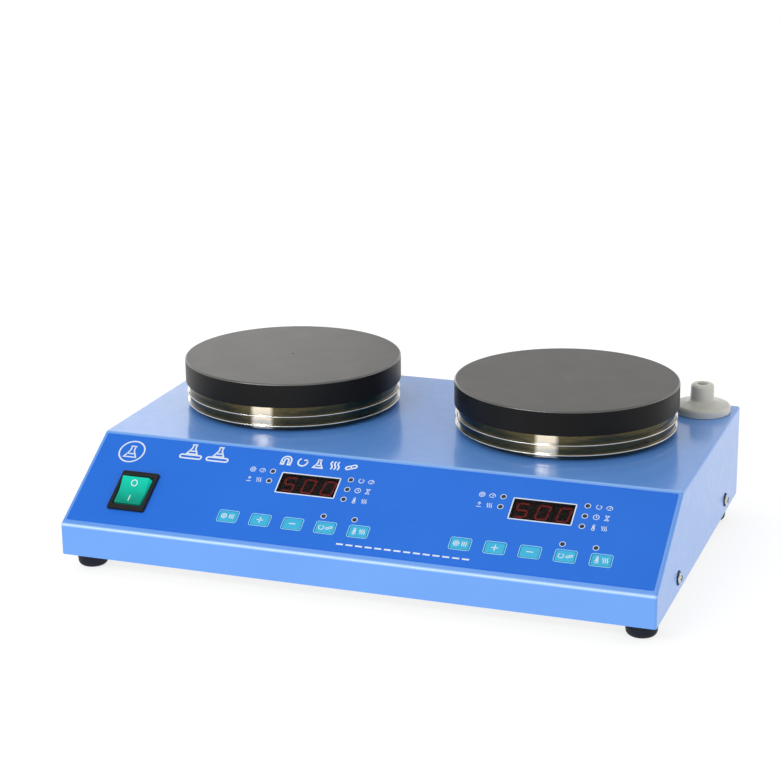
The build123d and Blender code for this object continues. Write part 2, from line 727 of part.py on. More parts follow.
def make_rotor(station):
    """What turns: the motor's shaft, the arm clamped on it and a magnet near each end of the arm."""
    with BuildPart() as shaft:
        with BuildSketch(plate_plane(station, MOTOR_BOTTOM_Z + 4.5)):
            Circle(SHAFT_R)
        extrude(amount=ARM_TOP_Z - 1 - MOTOR_BOTTOM_Z - 4.5)
    save(shaft, f"{station}_motor_shaft")
    with BuildPart() as holder:
        with BuildSketch(plate_plane(station, ARM_BOTTOM_Z)):
            SlotCenterToCenter(2 * MAGNET_REACH, 3 * MAGNET_R)
        extrude(amount=ARM_TOP_Z - ARM_BOTTOM_Z)
        with BuildSketch(plate_plane(station, ARM_BOTTOM_Z)):
            Circle(9)
        extrude(amount=-6)
        with BuildSketch(plate_plane(station, ARM_TOP_Z)):
            with GridLocations(2 * MAGNET_REACH, 0, 2, 1):
                Circle(MAGNET_R)
        extrude(amount=-4, mode=Mode.SUBTRACT)
        with BuildSketch(plate_plane(station, ARM_TOP_Z)):
            Circle(SHAFT_R)
        extrude(amount=-12, mode=Mode.SUBTRACT)
    save(holder, f"{station}_magnet_holder")
    with BuildPart() as magnets:
        with BuildSketch(plate_plane(station, ARM_TOP_Z - 4)):
            with GridLocations(2 * MAGNET_REACH, 0, 2, 1):
                Circle(MAGNET_R)
        extrude(amount=10)
    save(magnets, f"{station}_drive_magnets")


# ---------------------------------------------------------------- power supply


def make_power_board():
    """Circuit board on four pillars between the motors, with its larger components."""
    board_z = TRAY_Z + 6.0
    middle = (0, FRONT_Y + DEPTH / 2 - 10)
    with BuildPart() as board:
        with BuildSketch(Plane.XY.offset(board_z)):
            with Locations(middle):
                Rectangle(90, 70)
        extrude(amount=BOARD_THICK)
        with BuildSketch(Plane.XY.offset(TRAY_Z)):
            with Locations(middle):
                with GridLocations(80, 60, 2, 2):
                    Circle(3)
        extrude(amount=board_z - TRAY_Z)
        with BuildSketch(Plane.XY.offset(board_z + BOARD_THICK)):
            with Locations(middle):
                with Locations((-25, 15)):
                    Rectangle(30, 24)
                with Locations((12, 18), (30, 18)):
                    Circle(6)
        extrude(amount=15)
        # finned heat sink along the front edge
        with BuildSketch(Plane.XY.offset(board_z + BOARD_THICK)):
            with Locations(middle):
                with Locations((0, -26)):
                    Rectangle(70, 3)
                with Locations((0, -20)):
                    with GridLocations(7.6, 0, 9, 1):
                        Rectangle(1.6, 12)
        extrude(amount=22)
    save(board, "power_board")


def make_transformer():
    """Laminated core on a foot plate, with the winding through it."""
    middle = (0, FRONT_Y + DEPTH / 2 + 72)
    with BuildPart() as transformer:
        with BuildSketch(Plane.XY.offset(TRAY_Z)):
            with Locations(middle):
                Rectangle(66, 26)
        extrude(amount=2)
        with BuildSketch(Plane.XY.offset(TRAY_Z + 2)):
            with Locations(middle):
                Rectangle(50, 20)
        extrude(amount=40)
        with BuildSketch(Plane.XY.offset(TRAY_Z + 9)):
            with Locations(middle):
                RectangleRounded(30, 38, 3)
        extrude(amount=26)
    save(transformer, "transformer")


# ---------------------------------------------------------------- back wall

INLET_PLANE = BACK.shift_origin((-INLET_X, REAR_Y, INLET_Z))
PLUG_WELL_Y = 4.5  # middle of the plug's well above the inlet's middle
PLUG_WELL_WIDTH = 24.4
PLUG_WELL_HIGH = 16.8
PLUG_WELL_DEEP = 16.0
FLANGE_OUT = 2.5
PIN_SPOTS = [(-7.0, PLUG_WELL_Y - 2.0), (7.0, PLUG_WELL_Y - 2.0), (0.0, PLUG_WELL_Y + 2.0)]
DRAWER_Y = -9.6
DRAWER_WIDTH = 22.0
DRAWER_HIGH = 7.0
DRAWER_DEEP = 25.0
FUSE_R = 2.6
FUSE_LENGTH = 20.0


def make_inlet():
    """Mains inlet: flange with ears, a well for the plug and a slot for the fuse drawer."""
    with BuildPart() as inlet:
        with BuildSketch(INLET_PLANE):
            RectangleRounded(50, 32, 6)
            with GridLocations(INLET_SCREW_PITCH, 0, 2, 1):
                Circle(1.6, mode=Mode.SUBTRACT)
        extrude(amount=FLANGE_OUT)
        with BuildSketch(INLET_PLANE):
            RectangleRounded(27.8, 28.6, 1.8)
        extrude(amount=-26.0)
        with BuildSketch(INLET_PLANE.offset(FLANGE_OUT)) as well:
            with Locations((0, PLUG_WELL_Y)):
                Rectangle(PLUG_WELL_WIDTH, PLUG_WELL_HIGH)
            chamfer(well.vertices().group_by(Axis.Y)[-1], 5.0)
            fillet(well.vertices().group_by(Axis.Y)[0], 1.5)
        extrude(amount=-PLUG_WELL_DEEP, mode=Mode.SUBTRACT)
        with BuildSketch(INLET_PLANE.offset(FLANGE_OUT)):
            with Locations((0, DRAWER_Y)):
                Rectangle(DRAWER_WIDTH + 2 * FIT_GAP, DRAWER_HIGH + 2 * FIT_GAP)
        extrude(amount=-DRAWER_DEEP - FIT_GAP - 0.2, mode=Mode.SUBTRACT)
        with BuildSketch(INLET_PLANE.offset(-PIN_REAR)):
            with Locations(PIN_SPOTS):
                Rectangle(2.0, 4.0)
        extrude(amount=PIN_REAR, mode=Mode.SUBTRACT)
    save(inlet, "mains_inlet")


PIN_REAR = 32.0  # how far the pins reach in behind the wall


def make_inlet_pins():
    with BuildPart() as pins:
        with BuildSketch(INLET_PLANE.offset(-PIN_REAR)):
            with Locations(PIN_SPOTS):
                Rectangle(2.0, 4.0)
        extrude(amount=PIN_REAR + FLANGE_OUT - 5.0)
    save(pins, "inlet_pins")


def make_fuse_drawer():
    """Drawer with a grip lip over the flange and a trough that holds one fuse."""
    lip = 1.4
    with BuildPart() as drawer:
        with BuildSketch(INLET_PLANE.offset(FLANGE_OUT)):
            with Locations((0, DRAWER_Y)):
                Rectangle(DRAWER_WIDTH, DRAWER_HIGH)
        extrude(amount=-DRAWER_DEEP)
        with BuildSketch(INLET_PLANE.offset(FLANGE_OUT + FIT_GAP)):
            with Locations((0, DRAWER_Y)):
                RectangleRounded(DRAWER_WIDTH + 1.6, DRAWER_HIGH + 1.2, 0.8)
        extrude(amount=lip)
        with BuildSketch(INLET_PLANE.offset(FLANGE_OUT)):
            with Locations((0, DRAWER_Y)):
                Rectangle(DRAWER_WIDTH, DRAWER_HIGH)
        extrude(amount=FIT_GAP)
        with BuildSketch(INLET_PLANE.offset(FLANGE_OUT - 2)):
            with Locations((0, DRAWER_Y + 1.2)):
                Rectangle(6, DRAWER_HIGH - 1)
        extrude(amount=-FUSE_LENGTH - 0.6, mode=Mode.SUBTRACT)
    save(drawer, "fuse_drawer")
    with BuildPart() as fuse:
        with BuildSketch(INLET_PLANE.offset(FLANGE_OUT - 2.3)):
            with Locations((0, DRAWER_Y + 0.9)):
                Circle(FUSE_R)
        extrude(amount=-FUSE_LENGTH)
    save(fuse, "fuse_cartridge")


def make_inlet_screws():
    seats = []
    for side in (-1, 1):
        spot = INLET_PLANE.from_local_coords(Vector(side * INLET_SCREW_PITCH / 2, 0, FLANGE_OUT))
        seats.append((Plane(origin=spot, x_dir=BACK.x_dir, z_dir=BACK.z_dir), 8.0))
    save(screw_group(seats, 1.5, 2.8, 1.8), "inlet_screws")


def make_probe_sockets():
    """Round threaded connectors: flange outside, nut inside, three contacts in a black face."""
    with BuildPart() as sockets:
        for x in SOCKET_XS:
            seat = BACK.shift_origin((-x, REAR_Y, SOCKET_Z))
            with BuildSketch(seat):
                Circle(9.0)
            extrude(amount=2.0)
            with BuildSketch(seat):
                Circle(SOCKET_SHELL_R)
            extrude(amount=REAR_REACH)
            with BuildSketch(seat):
                Circle(SOCKET_SHELL_R)
            extrude(amount=-14.0)
            with BuildSketch(seat.offset(-SHEET)):
                RegularPolygon(9.0, 6)
            extrude(amount=-3.0)
            with BuildSketch(seat.offset(REAR_REACH)):
                Circle(SOCKET_SHELL_R - 1.2)
            extrude(amount=-1.6, mode=Mode.SUBTRACT)
            with BuildSketch(seat.offset(REAR_REACH)):
                with PolarLocations(2.4, 3, start_angle=90):
                    Circle(0.8)
            extrude(amount=-6.0, mode=Mode.SUBTRACT)
    save(sockets, "probe_sockets")


# ---------------------------------------------------------------- rod socket

ROD_FLANGE_R = 18.8
ROD_FLANGE_HIGH = 5.7
ROD_NECK_R = 7.6
ROD_SOCKET_HIGH = 19.3
ROD_BORE_R = 3.5
ROD_BORE_DEEP = 14.0


def make_rod_socket():
    """Moulded socket: rounded flange, domed shoulder and a neck with a blind bore for a rod."""
    centre = Plane(origin=(ROD_SOCKET_X, ROD_SOCKET_Y, TOP_Z), x_dir=(1, 0, 0), z_dir=(0, -1, 0))
    floor_high = ROD_SOCKET_HIGH - ROD_BORE_DEEP
    with BuildPart() as socket:
        with BuildSketch(centre):
            with BuildLine():
                Polyline((M4_R, 0), (ROD_FLANGE_R - 0.8, 0), (ROD_FLANGE_R, 0.8))
                Line((ROD_FLANGE_R, 0.8), (ROD_FLANGE_R, ROD_FLANGE_HIGH - 2.2))
                Spline(
                    (ROD_FLANGE_R, ROD_FLANGE_HIGH - 2.2),
                    (ROD_FLANGE_R - 2.4, ROD_FLANGE_HIGH),
                    (ROD_NECK_R + 4.6, ROD_FLANGE_HIGH + 2.0),
                    (ROD_NECK_R + 0.4, ROD_FLANGE_HIGH + 4.4),
                    tangents=((0, 1), (-0.35, 1)),
                )
                Line((ROD_NECK_R + 0.4, ROD_FLANGE_HIGH + 4.4), (ROD_NECK_R, ROD_SOCKET_HIGH - 1.8))
                RadiusArc(
                    (ROD_NECK_R, ROD_SOCKET_HIGH - 1.8), (ROD_NECK_R - 1.8, ROD_SOCKET_HIGH), -1.8
                )
                Polyline(
                    (ROD_NECK_R - 1.8, ROD_SOCKET_HIGH),
                    (ROD_BORE_R, ROD_SOCKET_HIGH),
                    (ROD_BORE_R, floor_high),
                    (M4_R, floor_high),
                    (M4_R, 0),
                )
            make_face()
        revolve(axis=Axis(centre.origin, (0, 0, 1)))
    save(socket, "rod_socket")


# ---------------------------------------------------------------- everything

make_housing()
make_tray()
for front_or_rear, foot_y in FOOT_YS.items():
    make_foot(f"foot_{front_or_rear}_left", -FOOT_X, foot_y)
    make_foot(f"foot_{front_or_rear}_right", FOOT_X, foot_y)
make_side_screws()
make_inner_screws()
make_film()
for side_name in STATIONS:
    for key_name, key_place in zip(KEY_NAMES, key_places(side_name)):
        make_key(f"{side_name}_key_{key_name}", key_place)
    make_display(side_name)
    make_control_board(side_name)
    make_hot_plate(side_name)
    make_skirt(side_name)
    make_heater_stack(side_name)
    make_bracket(side_name)
    make_motor(side_name)
    make_rotor(side_name)
make_tact_switches()
make_lamps()
make_standoffs()
make_switch_body()
make_rocker()
make_posts()
make_power_board()
make_transformer()
make_inlet()
make_inlet_pins()
make_fuse_drawer()
make_inlet_screws()
make_probe_sockets()
make_rod_socket()
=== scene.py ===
import json
from math import cos, pi, radians, sin, tau

import bmesh
import bpy
from mathutils import Matrix, Vector


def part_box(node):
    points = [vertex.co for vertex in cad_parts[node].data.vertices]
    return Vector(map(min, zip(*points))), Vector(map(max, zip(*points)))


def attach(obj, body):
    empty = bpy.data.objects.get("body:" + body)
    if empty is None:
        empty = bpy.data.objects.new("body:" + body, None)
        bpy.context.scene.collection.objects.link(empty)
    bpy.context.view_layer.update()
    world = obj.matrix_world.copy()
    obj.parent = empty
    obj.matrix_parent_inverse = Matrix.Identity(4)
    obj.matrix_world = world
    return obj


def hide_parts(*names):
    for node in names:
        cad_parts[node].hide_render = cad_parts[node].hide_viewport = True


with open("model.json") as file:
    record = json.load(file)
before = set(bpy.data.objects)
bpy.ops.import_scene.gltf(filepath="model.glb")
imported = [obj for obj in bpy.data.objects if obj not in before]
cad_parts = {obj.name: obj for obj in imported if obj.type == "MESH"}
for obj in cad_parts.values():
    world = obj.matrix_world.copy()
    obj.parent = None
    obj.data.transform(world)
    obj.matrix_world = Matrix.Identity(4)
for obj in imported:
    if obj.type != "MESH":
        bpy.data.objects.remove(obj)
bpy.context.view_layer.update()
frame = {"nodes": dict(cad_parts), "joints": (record.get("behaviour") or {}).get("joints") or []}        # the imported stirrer: two heated plates on a wedge-shaped housing

# Shapes below are drawn in millimetres, like the CAD model, and become metres in Shape.build.
MM = 0.001
STATIONS = ("left", "right")

# ---------------------------------------------------------------- camera, floor and light

CAMERA_PLACE = (0.4192, -1.2044, 0.4853)
CAMERA_YAW = 19.83
CAMERA_PITCH = 16.79
CAMERA_ROLL = -0.55
CAMERA_LENS = 95.87
HORIZON_GLOW = 0.98
ZENITH_GLOW = 0.42
SKIRT_STRIPS = {"left": (-0.30, -0.96, -0.20), "right": (-0.06, -0.97, -0.20)}


def make_camera():
    data = bpy.data.cameras.new("camera")
    data.lens = CAMERA_LENS
    data.clip_start = 0.01
    camera = bpy.data.objects.new("camera", data)
    bpy.context.scene.collection.objects.link(camera)
    turn = Matrix.Rotation(radians(CAMERA_YAW), 4, "Z")
    tip = Matrix.Rotation(radians(90 - CAMERA_PITCH), 4, "X")
    roll = Matrix.Rotation(radians(CAMERA_ROLL), 4, "Z")
    camera.matrix_world = Matrix.Translation(CAMERA_PLACE) @ turn @ tip @ roll
    bpy.context.scene.camera = camera


def area_light(name, place, aim, size, watts, colour=(1, 1, 1)):
    """Softbox of size (width, height) at place, facing aim."""
    data = bpy.data.lights.new(name, "AREA")
    data.shape = "RECTANGLE"
    data.size, data.size_y = size
    data.energy = watts
    data.color = colour
    light = bpy.data.objects.new(name, data)
    bpy.context.scene.collection.objects.link(light)
    away = Vector(place) - Vector(aim)
    light.matrix_world = Matrix.Translation(place) @ away.to_track_quat("Z", "Y").to_matrix().to_4x4()
    return light


def make_world():
    """White studio dome, brighter near the horizon than overhead."""
    world = bpy.data.worlds.new("studio")
    bpy.context.scene.world = world
    world.use_nodes = True
    tree = world.node_tree
    background = tree.nodes["Background"]
    background.inputs["Color"].default_value = (1.0, 0.99, 0.97, 1)
    direction = tree.nodes.new("ShaderNodeTexCoord").outputs["Generated"]
    parts = tree.nodes.new("ShaderNodeSeparateXYZ")
    fade = tree.nodes.new("ShaderNodeMapRange")
    fade.inputs["From Min"].default_value = 0.30
    fade.inputs["From Max"].default_value = 0.95
    fade.inputs["To Min"].default_value = HORIZON_GLOW
    fade.inputs["To Max"].default_value = ZENITH_GLOW
    tree.links.new(direction, parts.inputs["Vector"])
    tree.links.new(parts.outputs["Z"], fade.inputs["Value"])
    tree.links.new(fade.outputs["Result"], background.inputs["Strength"])


def make_lights():
    """Softboxes: one overhead, a wide low one in front, and weaker ones at the right and behind."""
    area_light("overhead", (-0.2, 0.1, 1.5), (0, 0, 0), (1.2, 0.8), 2.5)
    area_light("front_left", (-0.42, -1.14, 0.78), (0, -0.12, 0.03), (0.95, 0.16), 6.2)
    area_light("right_side", (1.5, 0.9, 0.7), (0.3, 0.2, 0.0), (0.7, 0.9), 1.35, (1, 0.91, 0.80))
    area_light("back_left", (-0.95, 1.6, 0.55), (-0.1, 0.05, 0.1), (0.6, 0.4), 0.8).visible_camera = False
    bpy.context.scene.view_settings.view_transform = "Standard"


def light_skirt(station, place, skirt):
    """Tall strip light that only the skirt mirrors and only the skirt hides, as one upright bar."""
    aim = Vector((*(centre_mm(f"{station}_plate_skirt") * MM).xy, place[2]))
    strip = area_light(f"strip_{station}", place, aim, (0.12, 1.1), 8.5, (1, 0.98, 0.94))
    strip.visible_camera = False
    lit = bpy.data.collections.new(f"lit_by_strip_{station}")
    lit.objects.link(skirt)
    strip.light_linking.receiver_collection = lit
    strip.light_linking.blocker_collection = lit


# ---------------------------------------------------------------- materials


class Finish:
    """A Principled material with helpers for the noise that varies its colour, gloss and relief."""

    def __init__(self, name, **sockets):
        self.material = bpy.data.materials.new(name)
        self.material.use_nodes = True
        self.tree = self.material.node_tree
        self.shader = self.tree.nodes["Principled BSDF"]
        self.spots = self.tree.nodes.new("ShaderNodeTexCoord").outputs["Object"]
        for socket, value in sockets.items():
            self.shader.inputs[socket.replace("_", " ")].default_value = value

    def link(self, output, target):
        self.tree.links.new(output, target)

    def scaled(self, stretch):
        """Object coordinates stretched by three factors, for brushed or streaked marks."""
        mapping = self.tree.nodes.new("ShaderNodeMapping")
        mapping.inputs["Scale"].default_value = stretch
        self.link(self.spots, mapping.inputs["Vector"])
        return mapping.outputs["Vector"]

    def noise(self, scale, detail=3.0, stretch=None, rough=0.5):
        texture = self.tree.nodes.new("ShaderNodeTexNoise")
        texture.inputs["Scale"].default_value = scale
        texture.inputs["Detail"].default_value = detail
        texture.inputs["Roughness"].default_value = rough
        self.link(self.scaled(stretch) if stretch else self.spots, texture.inputs["Vector"])
        return texture.outputs["Fac"]

    def span(self, value, low, high, start=0.3, end=0.7):
        """Maps value from start..end to low..high."""
        node = self.tree.nodes.new("ShaderNodeMapRange")
        node.inputs["From Min"].default_value = start
        node.inputs["From Max"].default_value = end
        node.inputs["To Min"].default_value = low
        node.inputs["To Max"].default_value = high
        self.link(value, node.inputs["Value"])
        return node.outputs["Result"]

    def mix(self, factor, first, second):
        """Blend of two colours, each a colour output or three numbers."""
        node = self.tree.nodes.new("ShaderNodeMix")
        node.data_type = "RGBA"
        self.link(factor, node.inputs["Factor"])
        for colour, socket in ((first, node.inputs["A"]), (second, node.inputs["B"])):
            if isinstance(colour, tuple):
                socket.default_value = (*colour, 1)
            else:
                self.link(colour, socket)
        return node.outputs["Result"]

    def away_from_line(self, through):
        """Distance in metres from the line along x through a point."""
        flat = self.tree.nodes.new("ShaderNodeVectorMath")
        flat.operation = "MULTIPLY"
        flat.inputs[1].default_value = (0, 1, 1)
        self.link(self.spots, flat.inputs[0])
        gap = self.tree.nodes.new("ShaderNodeVectorMath")
        gap.operation = "DISTANCE"
        gap.inputs[1].default_value = (0, through[0], through[1])
        self.link(flat.outputs["Vector"], gap.inputs[0])
        return gap.outputs["Value"]

    def colour(self, output):
        self.link(output, self.shader.inputs["Base Color"])

    def roughness(self, output):
        self.link(output, self.shader.inputs["Roughness"])

    def relief(self, height, depth, strength=1.0):
        """Bump of the given depth in millimetres."""
        bump = self.tree.nodes.new("ShaderNodeBump")
        bump.inputs["Distance"].default_value = depth * MM
        bump.inputs["Strength"].default_value = strength
        self.link(height, bump.inputs["Height"])
        self.link(bump.outputs["Normal"], self.shader.inputs["Normal"])


def plain_finish(name, low, high, gloss, grain=900.0, depth=0.01, mottle=25.0, **sockets):
    """Finish whose colour drifts between low and high and whose gloss and relief follow a fine grain."""
    finish = Finish(name, **sockets)
    fine = finish.noise(grain, 4.0)
    finish.colour(finish.mix(finish.span(finish.noise(mottle, 4.0), 0.0, 1.0), low, high))
    finish.roughness(finish.span(fine, gloss[0], gloss[1]))
    finish.relief(fine, depth)
    return finish.material


def brushed_finish(name, low, high, gloss, stretch, depth=0.004, **sockets):
    """Metal with long fine marks: stretch is small along the marks and large across them."""
    finish = Finish(name, Metallic=1.0, **sockets)
    marks = finish.noise(1.0, 5.0, stretch, 0.7)
    finish.colour(finish.mix(finish.span(marks, 0.0, 1.0), low, high))
    finish.roughness(finish.span(finish.noise(40.0, 3.0), gloss[0], gloss[1]))
    finish.relief(marks, depth)
    return finish.material


def case_paint(fold_highlights):
    """Light blue powder coat: orange peel, faint cloudiness, pale specks, and a painted highlight along each
    fold.
    """
    finish = Finish("case_paint", Coat_Weight=0.8, Coat_Roughness=0.14, Coat_IOR=1.5, IOR=1.45)
    peel = finish.noise(420.0, 2.0)
    specks = finish.span(finish.noise(2600.0, 1.0), 0.0, 0.22, 0.55, 0.8)
    cloud = finish.span(finish.noise(14.0, 4.0), 0.0, 1.0)
    base = finish.mix(cloud, (0.100, 0.300, 0.79), (0.112, 0.322, 0.82))
    shade = finish.mix(specks, base, (0.20, 0.41, 0.88))
    # Painted highlight: a paler colour within about 1.5 mm of each fold line.
    for fold, pale in fold_highlights:
        shade = finish.mix(finish.span(finish.away_from_line(fold), 1.0, 0.0, 0.0004, 0.0015), shade, pale)
    finish.colour(shade)
    finish.roughness(finish.span(finish.noise(160.0, 3.0), 0.42, 0.52))
    finish.relief(peel, 0.012)
    return finish.material


def film_print():
    """Saturated blue printed film with a fine velvet texture."""
    finish = Finish("film_print", IOR=1.4)
    velvet = finish.noise(5200.0, 2.0)
    cloud = finish.span(finish.noise(18.0, 3.0), 0.0, 1.0)
    finish.colour(finish.mix(cloud, (0.004, 0.138, 0.665), (0.007, 0.150, 0.70)))
    finish.roughness(finish.span(finish.noise(300.0, 3.0), 0.42, 0.52))
    finish.relief(velvet, 0.004)
    return finish.material


def plate_coating(name, low, high, gloss, **sockets):
    """Satin heat-proof coating with a fine cast grain and faint rubbed patches."""
    finish = Finish(name, **sockets)
    grain = finish.noise(2200.0, 4.0)
    rubbed = finish.span(finish.noise(22.0, 5.0), 0.0, 1.0, 0.35, 0.7)
    finish.colour(finish.mix(rubbed, low, high))
    finish.roughness(finish.span(finish.noise(60.0, 4.0), gloss[0], gloss[1], 0.2, 0.8))
    finish.relief(grain, 0.006)
    return finish.material


def polished_band(name, low, high, gloss, highlight_streak=None):
    """Turned and polished steel with a fine mottle, and a painted highlight as a paler upright streak in
    front and behind.
    """
    finish = Finish(name, Metallic=1.0)
    band_mottle = finish.noise(1.0, 5.0, (160.0, 160.0, 900.0), 0.65)
    shade = finish.mix(finish.span(band_mottle, 0.0, 1.0), low, high)
    # Painted highlight: a paler upright streak where a vertical slab through the skirt's axis meets the band,
    # at the front and at the back.
    if highlight_streak:
        centre, azimuth, pale = highlight_streak
        along = finish.tree.nodes.new("ShaderNodeVectorMath")
        along.operation = "DOT_PRODUCT"
        along.inputs[1].default_value = (cos(azimuth), sin(azimuth), 0)
        finish.link(finish.spots, along.inputs[0])
        middle = centre[0] * cos(azimuth) + centre[1] * sin(azimuth)
        rise = finish.span(along.outputs["Value"], 0.0, 1.0, middle - 0.0080, middle - 0.0052)
        fall = finish.span(along.outputs["Value"], 1.0, 0.0, middle + 0.0052, middle + 0.0080)
        both = finish.tree.nodes.new("ShaderNodeMath")
        both.operation = "MULTIPLY"
        finish.link(rise, both.inputs[0])
        finish.link(fall, both.inputs[1])
        shade = finish.mix(both.outputs["Value"], shade, pale)
    finish.colour(shade)
    finish.roughness(finish.span(finish.noise(1.0, 4.0, (60.0, 60.0, 500.0)), gloss[0], gloss[1]))
    finish.relief(band_mottle, 0.002)
    return finish.material


def smoked_window():
    """Dark smoked acrylic: mostly lets the digits through, and shines."""
    finish = Finish("smoked_window", IOR=1.22, Alpha=0.42)
    haze = finish.noise(120.0, 3.0)
    finish.colour(finish.mix(finish.span(haze, 0.0, 1.0), (0.004, 0.002, 0.002), (0.010, 0.005, 0.005)))
    finish.roughness(finish.span(haze, 0.05, 0.12))
    return finish.material


def rocker_plastic(centre, uphill, reach):
    """Translucent green plastic, lit from inside more strongly towards its upper end."""
    finish = Finish("rocker_plastic", IOR=1.2, Transmission_Weight=0.12)
    swirl = finish.span(finish.noise(130.0, 3.0), 0.0, 1.0)
    finish.colour(finish.mix(swirl, (0.002, 0.21, 0.14), (0.004, 0.28, 0.19)))
    finish.roughness(finish.span(finish.noise(700.0, 2.0), 0.16, 0.26))
    along = finish.tree.nodes.new("ShaderNodeVectorMath")
    along.operation = "DOT_PRODUCT"
    along.inputs[1].default_value = uphill
    finish.link(finish.spots, along.inputs[0])
    level = Vector(centre).dot(Vector(uphill))
    glow = finish.span(along.outputs["Value"], 0.0, 1.0, level - reach, level + reach)
    shade = finish.mix(glow, (0.0, 0.05, 0.036), (0.01, 0.80, 0.60))
    finish.link(shade, finish.shader.inputs["Emission Color"])
    finish.shader.inputs["Emission Strength"].default_value = 0.55
    return finish.material


def glowing(name, colour, strength):
    """Lit digit segment: its glow is a little uneven, as behind a diffuser."""
    finish = Finish(name, Roughness=0.5)
    uneven = finish.span(finish.noise(900.0, 2.0), 0.7, 1.0)
    finish.colour(finish.mix(uneven, (0.02, 0.0, 0.0), colour))
    finish.link(finish.mix(uneven, (0.0, 0.0, 0.0), colour), finish.shader.inputs["Emission Color"])
    finish.shader.inputs["Emission Strength"].default_value = strength
    return finish.material


# ---------------------------------------------------------------- shapes


def rounded(corners, closed=True, steps=6):
    """Outline through (x, y, radius) corners, with each corner that has a radius made an arc."""
    outline = []
    count = len(corners)
    for number, (x, y, radius) in enumerate(corners):
        corner = Vector((x, y))
        end = not closed and number in (0, count - 1)
        if radius <= 0 or end:
            outline.append(corner)
            continue
        before = (Vector(corners[number - 1][:2]) - corner).normalized()
        after = (Vector(corners[(number + 1) % count][:2]) - corner).normalized()
        half = before.angle(after) / 2
        centre = corner + (before + after).normalized() * radius / sin(half)
        first = (corner + before * radius * cos(half) / sin(half) - centre).normalized()
        last = (corner + after * radius * cos(half) / sin(half) - centre).normalized()
        outline += [centre + first.slerp(last, step / steps) * radius for step in range(steps + 1)]
    return outline


def rounded_rectangle(width, length, radius, steps=6):
    x, y = width / 2, length / 2
    return rounded([(x, -y, radius), (x, y, radius), (-x, y, radius), (-x, -y, radius)], steps=steps)


def circle(radius, count=28):
    """Circle with as many points as a rounded rectangle has, starting where that starts."""
    start = -pi / 4
    return [Vector((radius * cos(start + tau * n / count), radius * sin(start + tau * n / count)))
            for n in range(count)]


class Shape:
    """A mesh under construction from closed solids, in millimetres."""

    def __init__(self):
        self.vertices = []
        self.faces = []
        self.slots = []

    def skin(self, loops, place=Matrix.Identity(4), closed=False, slot=0):
        """Solid through equal loops of 3-D points, closed end to end or with a cap at each end."""
        start = len(self.vertices)
        count = len(loops[0])
        for loop in loops:
            self.vertices += [place @ Vector(point) for point in loop]
        spans = len(loops) if closed else len(loops) - 1
        faces = []
        for span in range(spans):
            near = start + span * count
            far = start + (span + 1) % len(loops) * count
            for step in range(count):
                beside = (step + 1) % count
                faces.append((near + step, near + beside, far + beside, far + step))
        if not closed:
            faces.append(tuple(range(start + count - 1, start - 1, -1)))
            last = start + (len(loops) - 1) * count
            faces.append(tuple(range(last, last + count)))
        self.faces += faces
        self.slots += [slot] * len(faces)

    def stack(self, levels, place, slot=0):
        """Solid through flat outlines, given as (outline, height) from one end to the other."""
        self.skin([[(p[0], p[1], height) for p in outline] for outline, height in levels], place, False, slot)

    def lathe(self, profile, centre, segments=192, closed=True, slot=0):
        """Solid turned about a vertical axis from (radius, height) points."""
        turns = [tau * number / segments for number in range(segments)]
        loops = [[(r * cos(a), r * sin(a), z) for a in turns] for r, z in profile]
        self.skin(loops, Matrix.Translation(centre), closed, slot)

    def ribbon(self, points, width, place, low, high, closed=False, slot=0):
        """Line of even width along 2-D points, printed between two heights."""
        points = [Vector(point) for point in points]
        count = len(points)
        edges = []
        for number, point in enumerate(points):
            before = points[number - 1] if closed or number else point
            after = points[(number + 1) % count] if closed or number < count - 1 else point
            ahead = (after - point).normalized() if after != point else (point - before).normalized()
            behind = (point - before).normalized() if before != point else ahead
            along = (ahead + behind).normalized()
            side = Vector((-along.y, along.x))
            reach = width / 2 / max(0.5, side.dot(Vector((-ahead.y, ahead.x))))
            edges.append((point + side * reach, point - side * reach))
        loops = [[(*a, low), (*b, low), (*b, high), (*a, high)] for a, b in edges]
        self.skin(loops, place, closed, slot)

    def build(self, name, body, materials, replaces=(), crease=30.0, even=True):
        """Makes the piece, which rides on body and stands for the CAD nodes in replaces."""
        mesh = bpy.data.meshes.new(name)
        mesh.from_pydata([vertex * MM for vertex in self.vertices], [], self.faces)
        mesh.polygons.foreach_set("material_index", self.slots)
        for material in materials:
            mesh.materials.append(material)
        work = bmesh.new()
        work.from_mesh(mesh)
        bmesh.ops.recalc_face_normals(work, faces=work.faces)
        work.to_mesh(mesh)
        work.free()
        mesh.polygons.foreach_set("use_smooth", [True] * len(mesh.polygons))
        mesh.set_sharp_from_angle(angle=radians(crease))
        piece = bpy.data.objects.new(name, mesh)
        bpy.context.scene.collection.objects.link(piece)
        if even:
            piece.modifiers.new("even_normals", "WEIGHTED_NORMAL").keep_sharp = True
        if body:
            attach(piece, body)
        if replaces:
            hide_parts(*replaces)
        return piece


# ---------------------------------------------------------------- places from the frame


def box_mm(node):
    low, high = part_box(node)
    return low / MM, high / MM


def centre_mm(node):
    low, high = box_mm(node)
    return (low + high) / 2


def joint_axis(name):
    joint = next(joint for joint in frame["joints"] if joint["name"] == name)
    return Vector(joint["axis"]).normalized()


LIP_Z = 31.5
FOLD_Y = -59.0
FILM_THICK = 0.5
PANEL_OUT = -joint_axis("left_key_set_press")
PANEL_UP = Vector((0, PANEL_OUT.z, -PANEL_OUT.y))
FILM_LOW = box_mm("panel_film")[0]
# lower edge of the film, on the painted slope: panel heights v are measured up the slope from it
PANEL_ORIGIN = Vector((0, FILM_LOW.y - PANEL_OUT.y * FILM_THICK, FILM_LOW.z))


def panel_spot(point):
    """Where a point in the shared frame lies on the panel: across, up the slope and out of it."""
    away = Vector(point) - PANEL_ORIGIN
    return Vector((away.x, away.dot(PANEL_UP), away.dot(PANEL_OUT)))


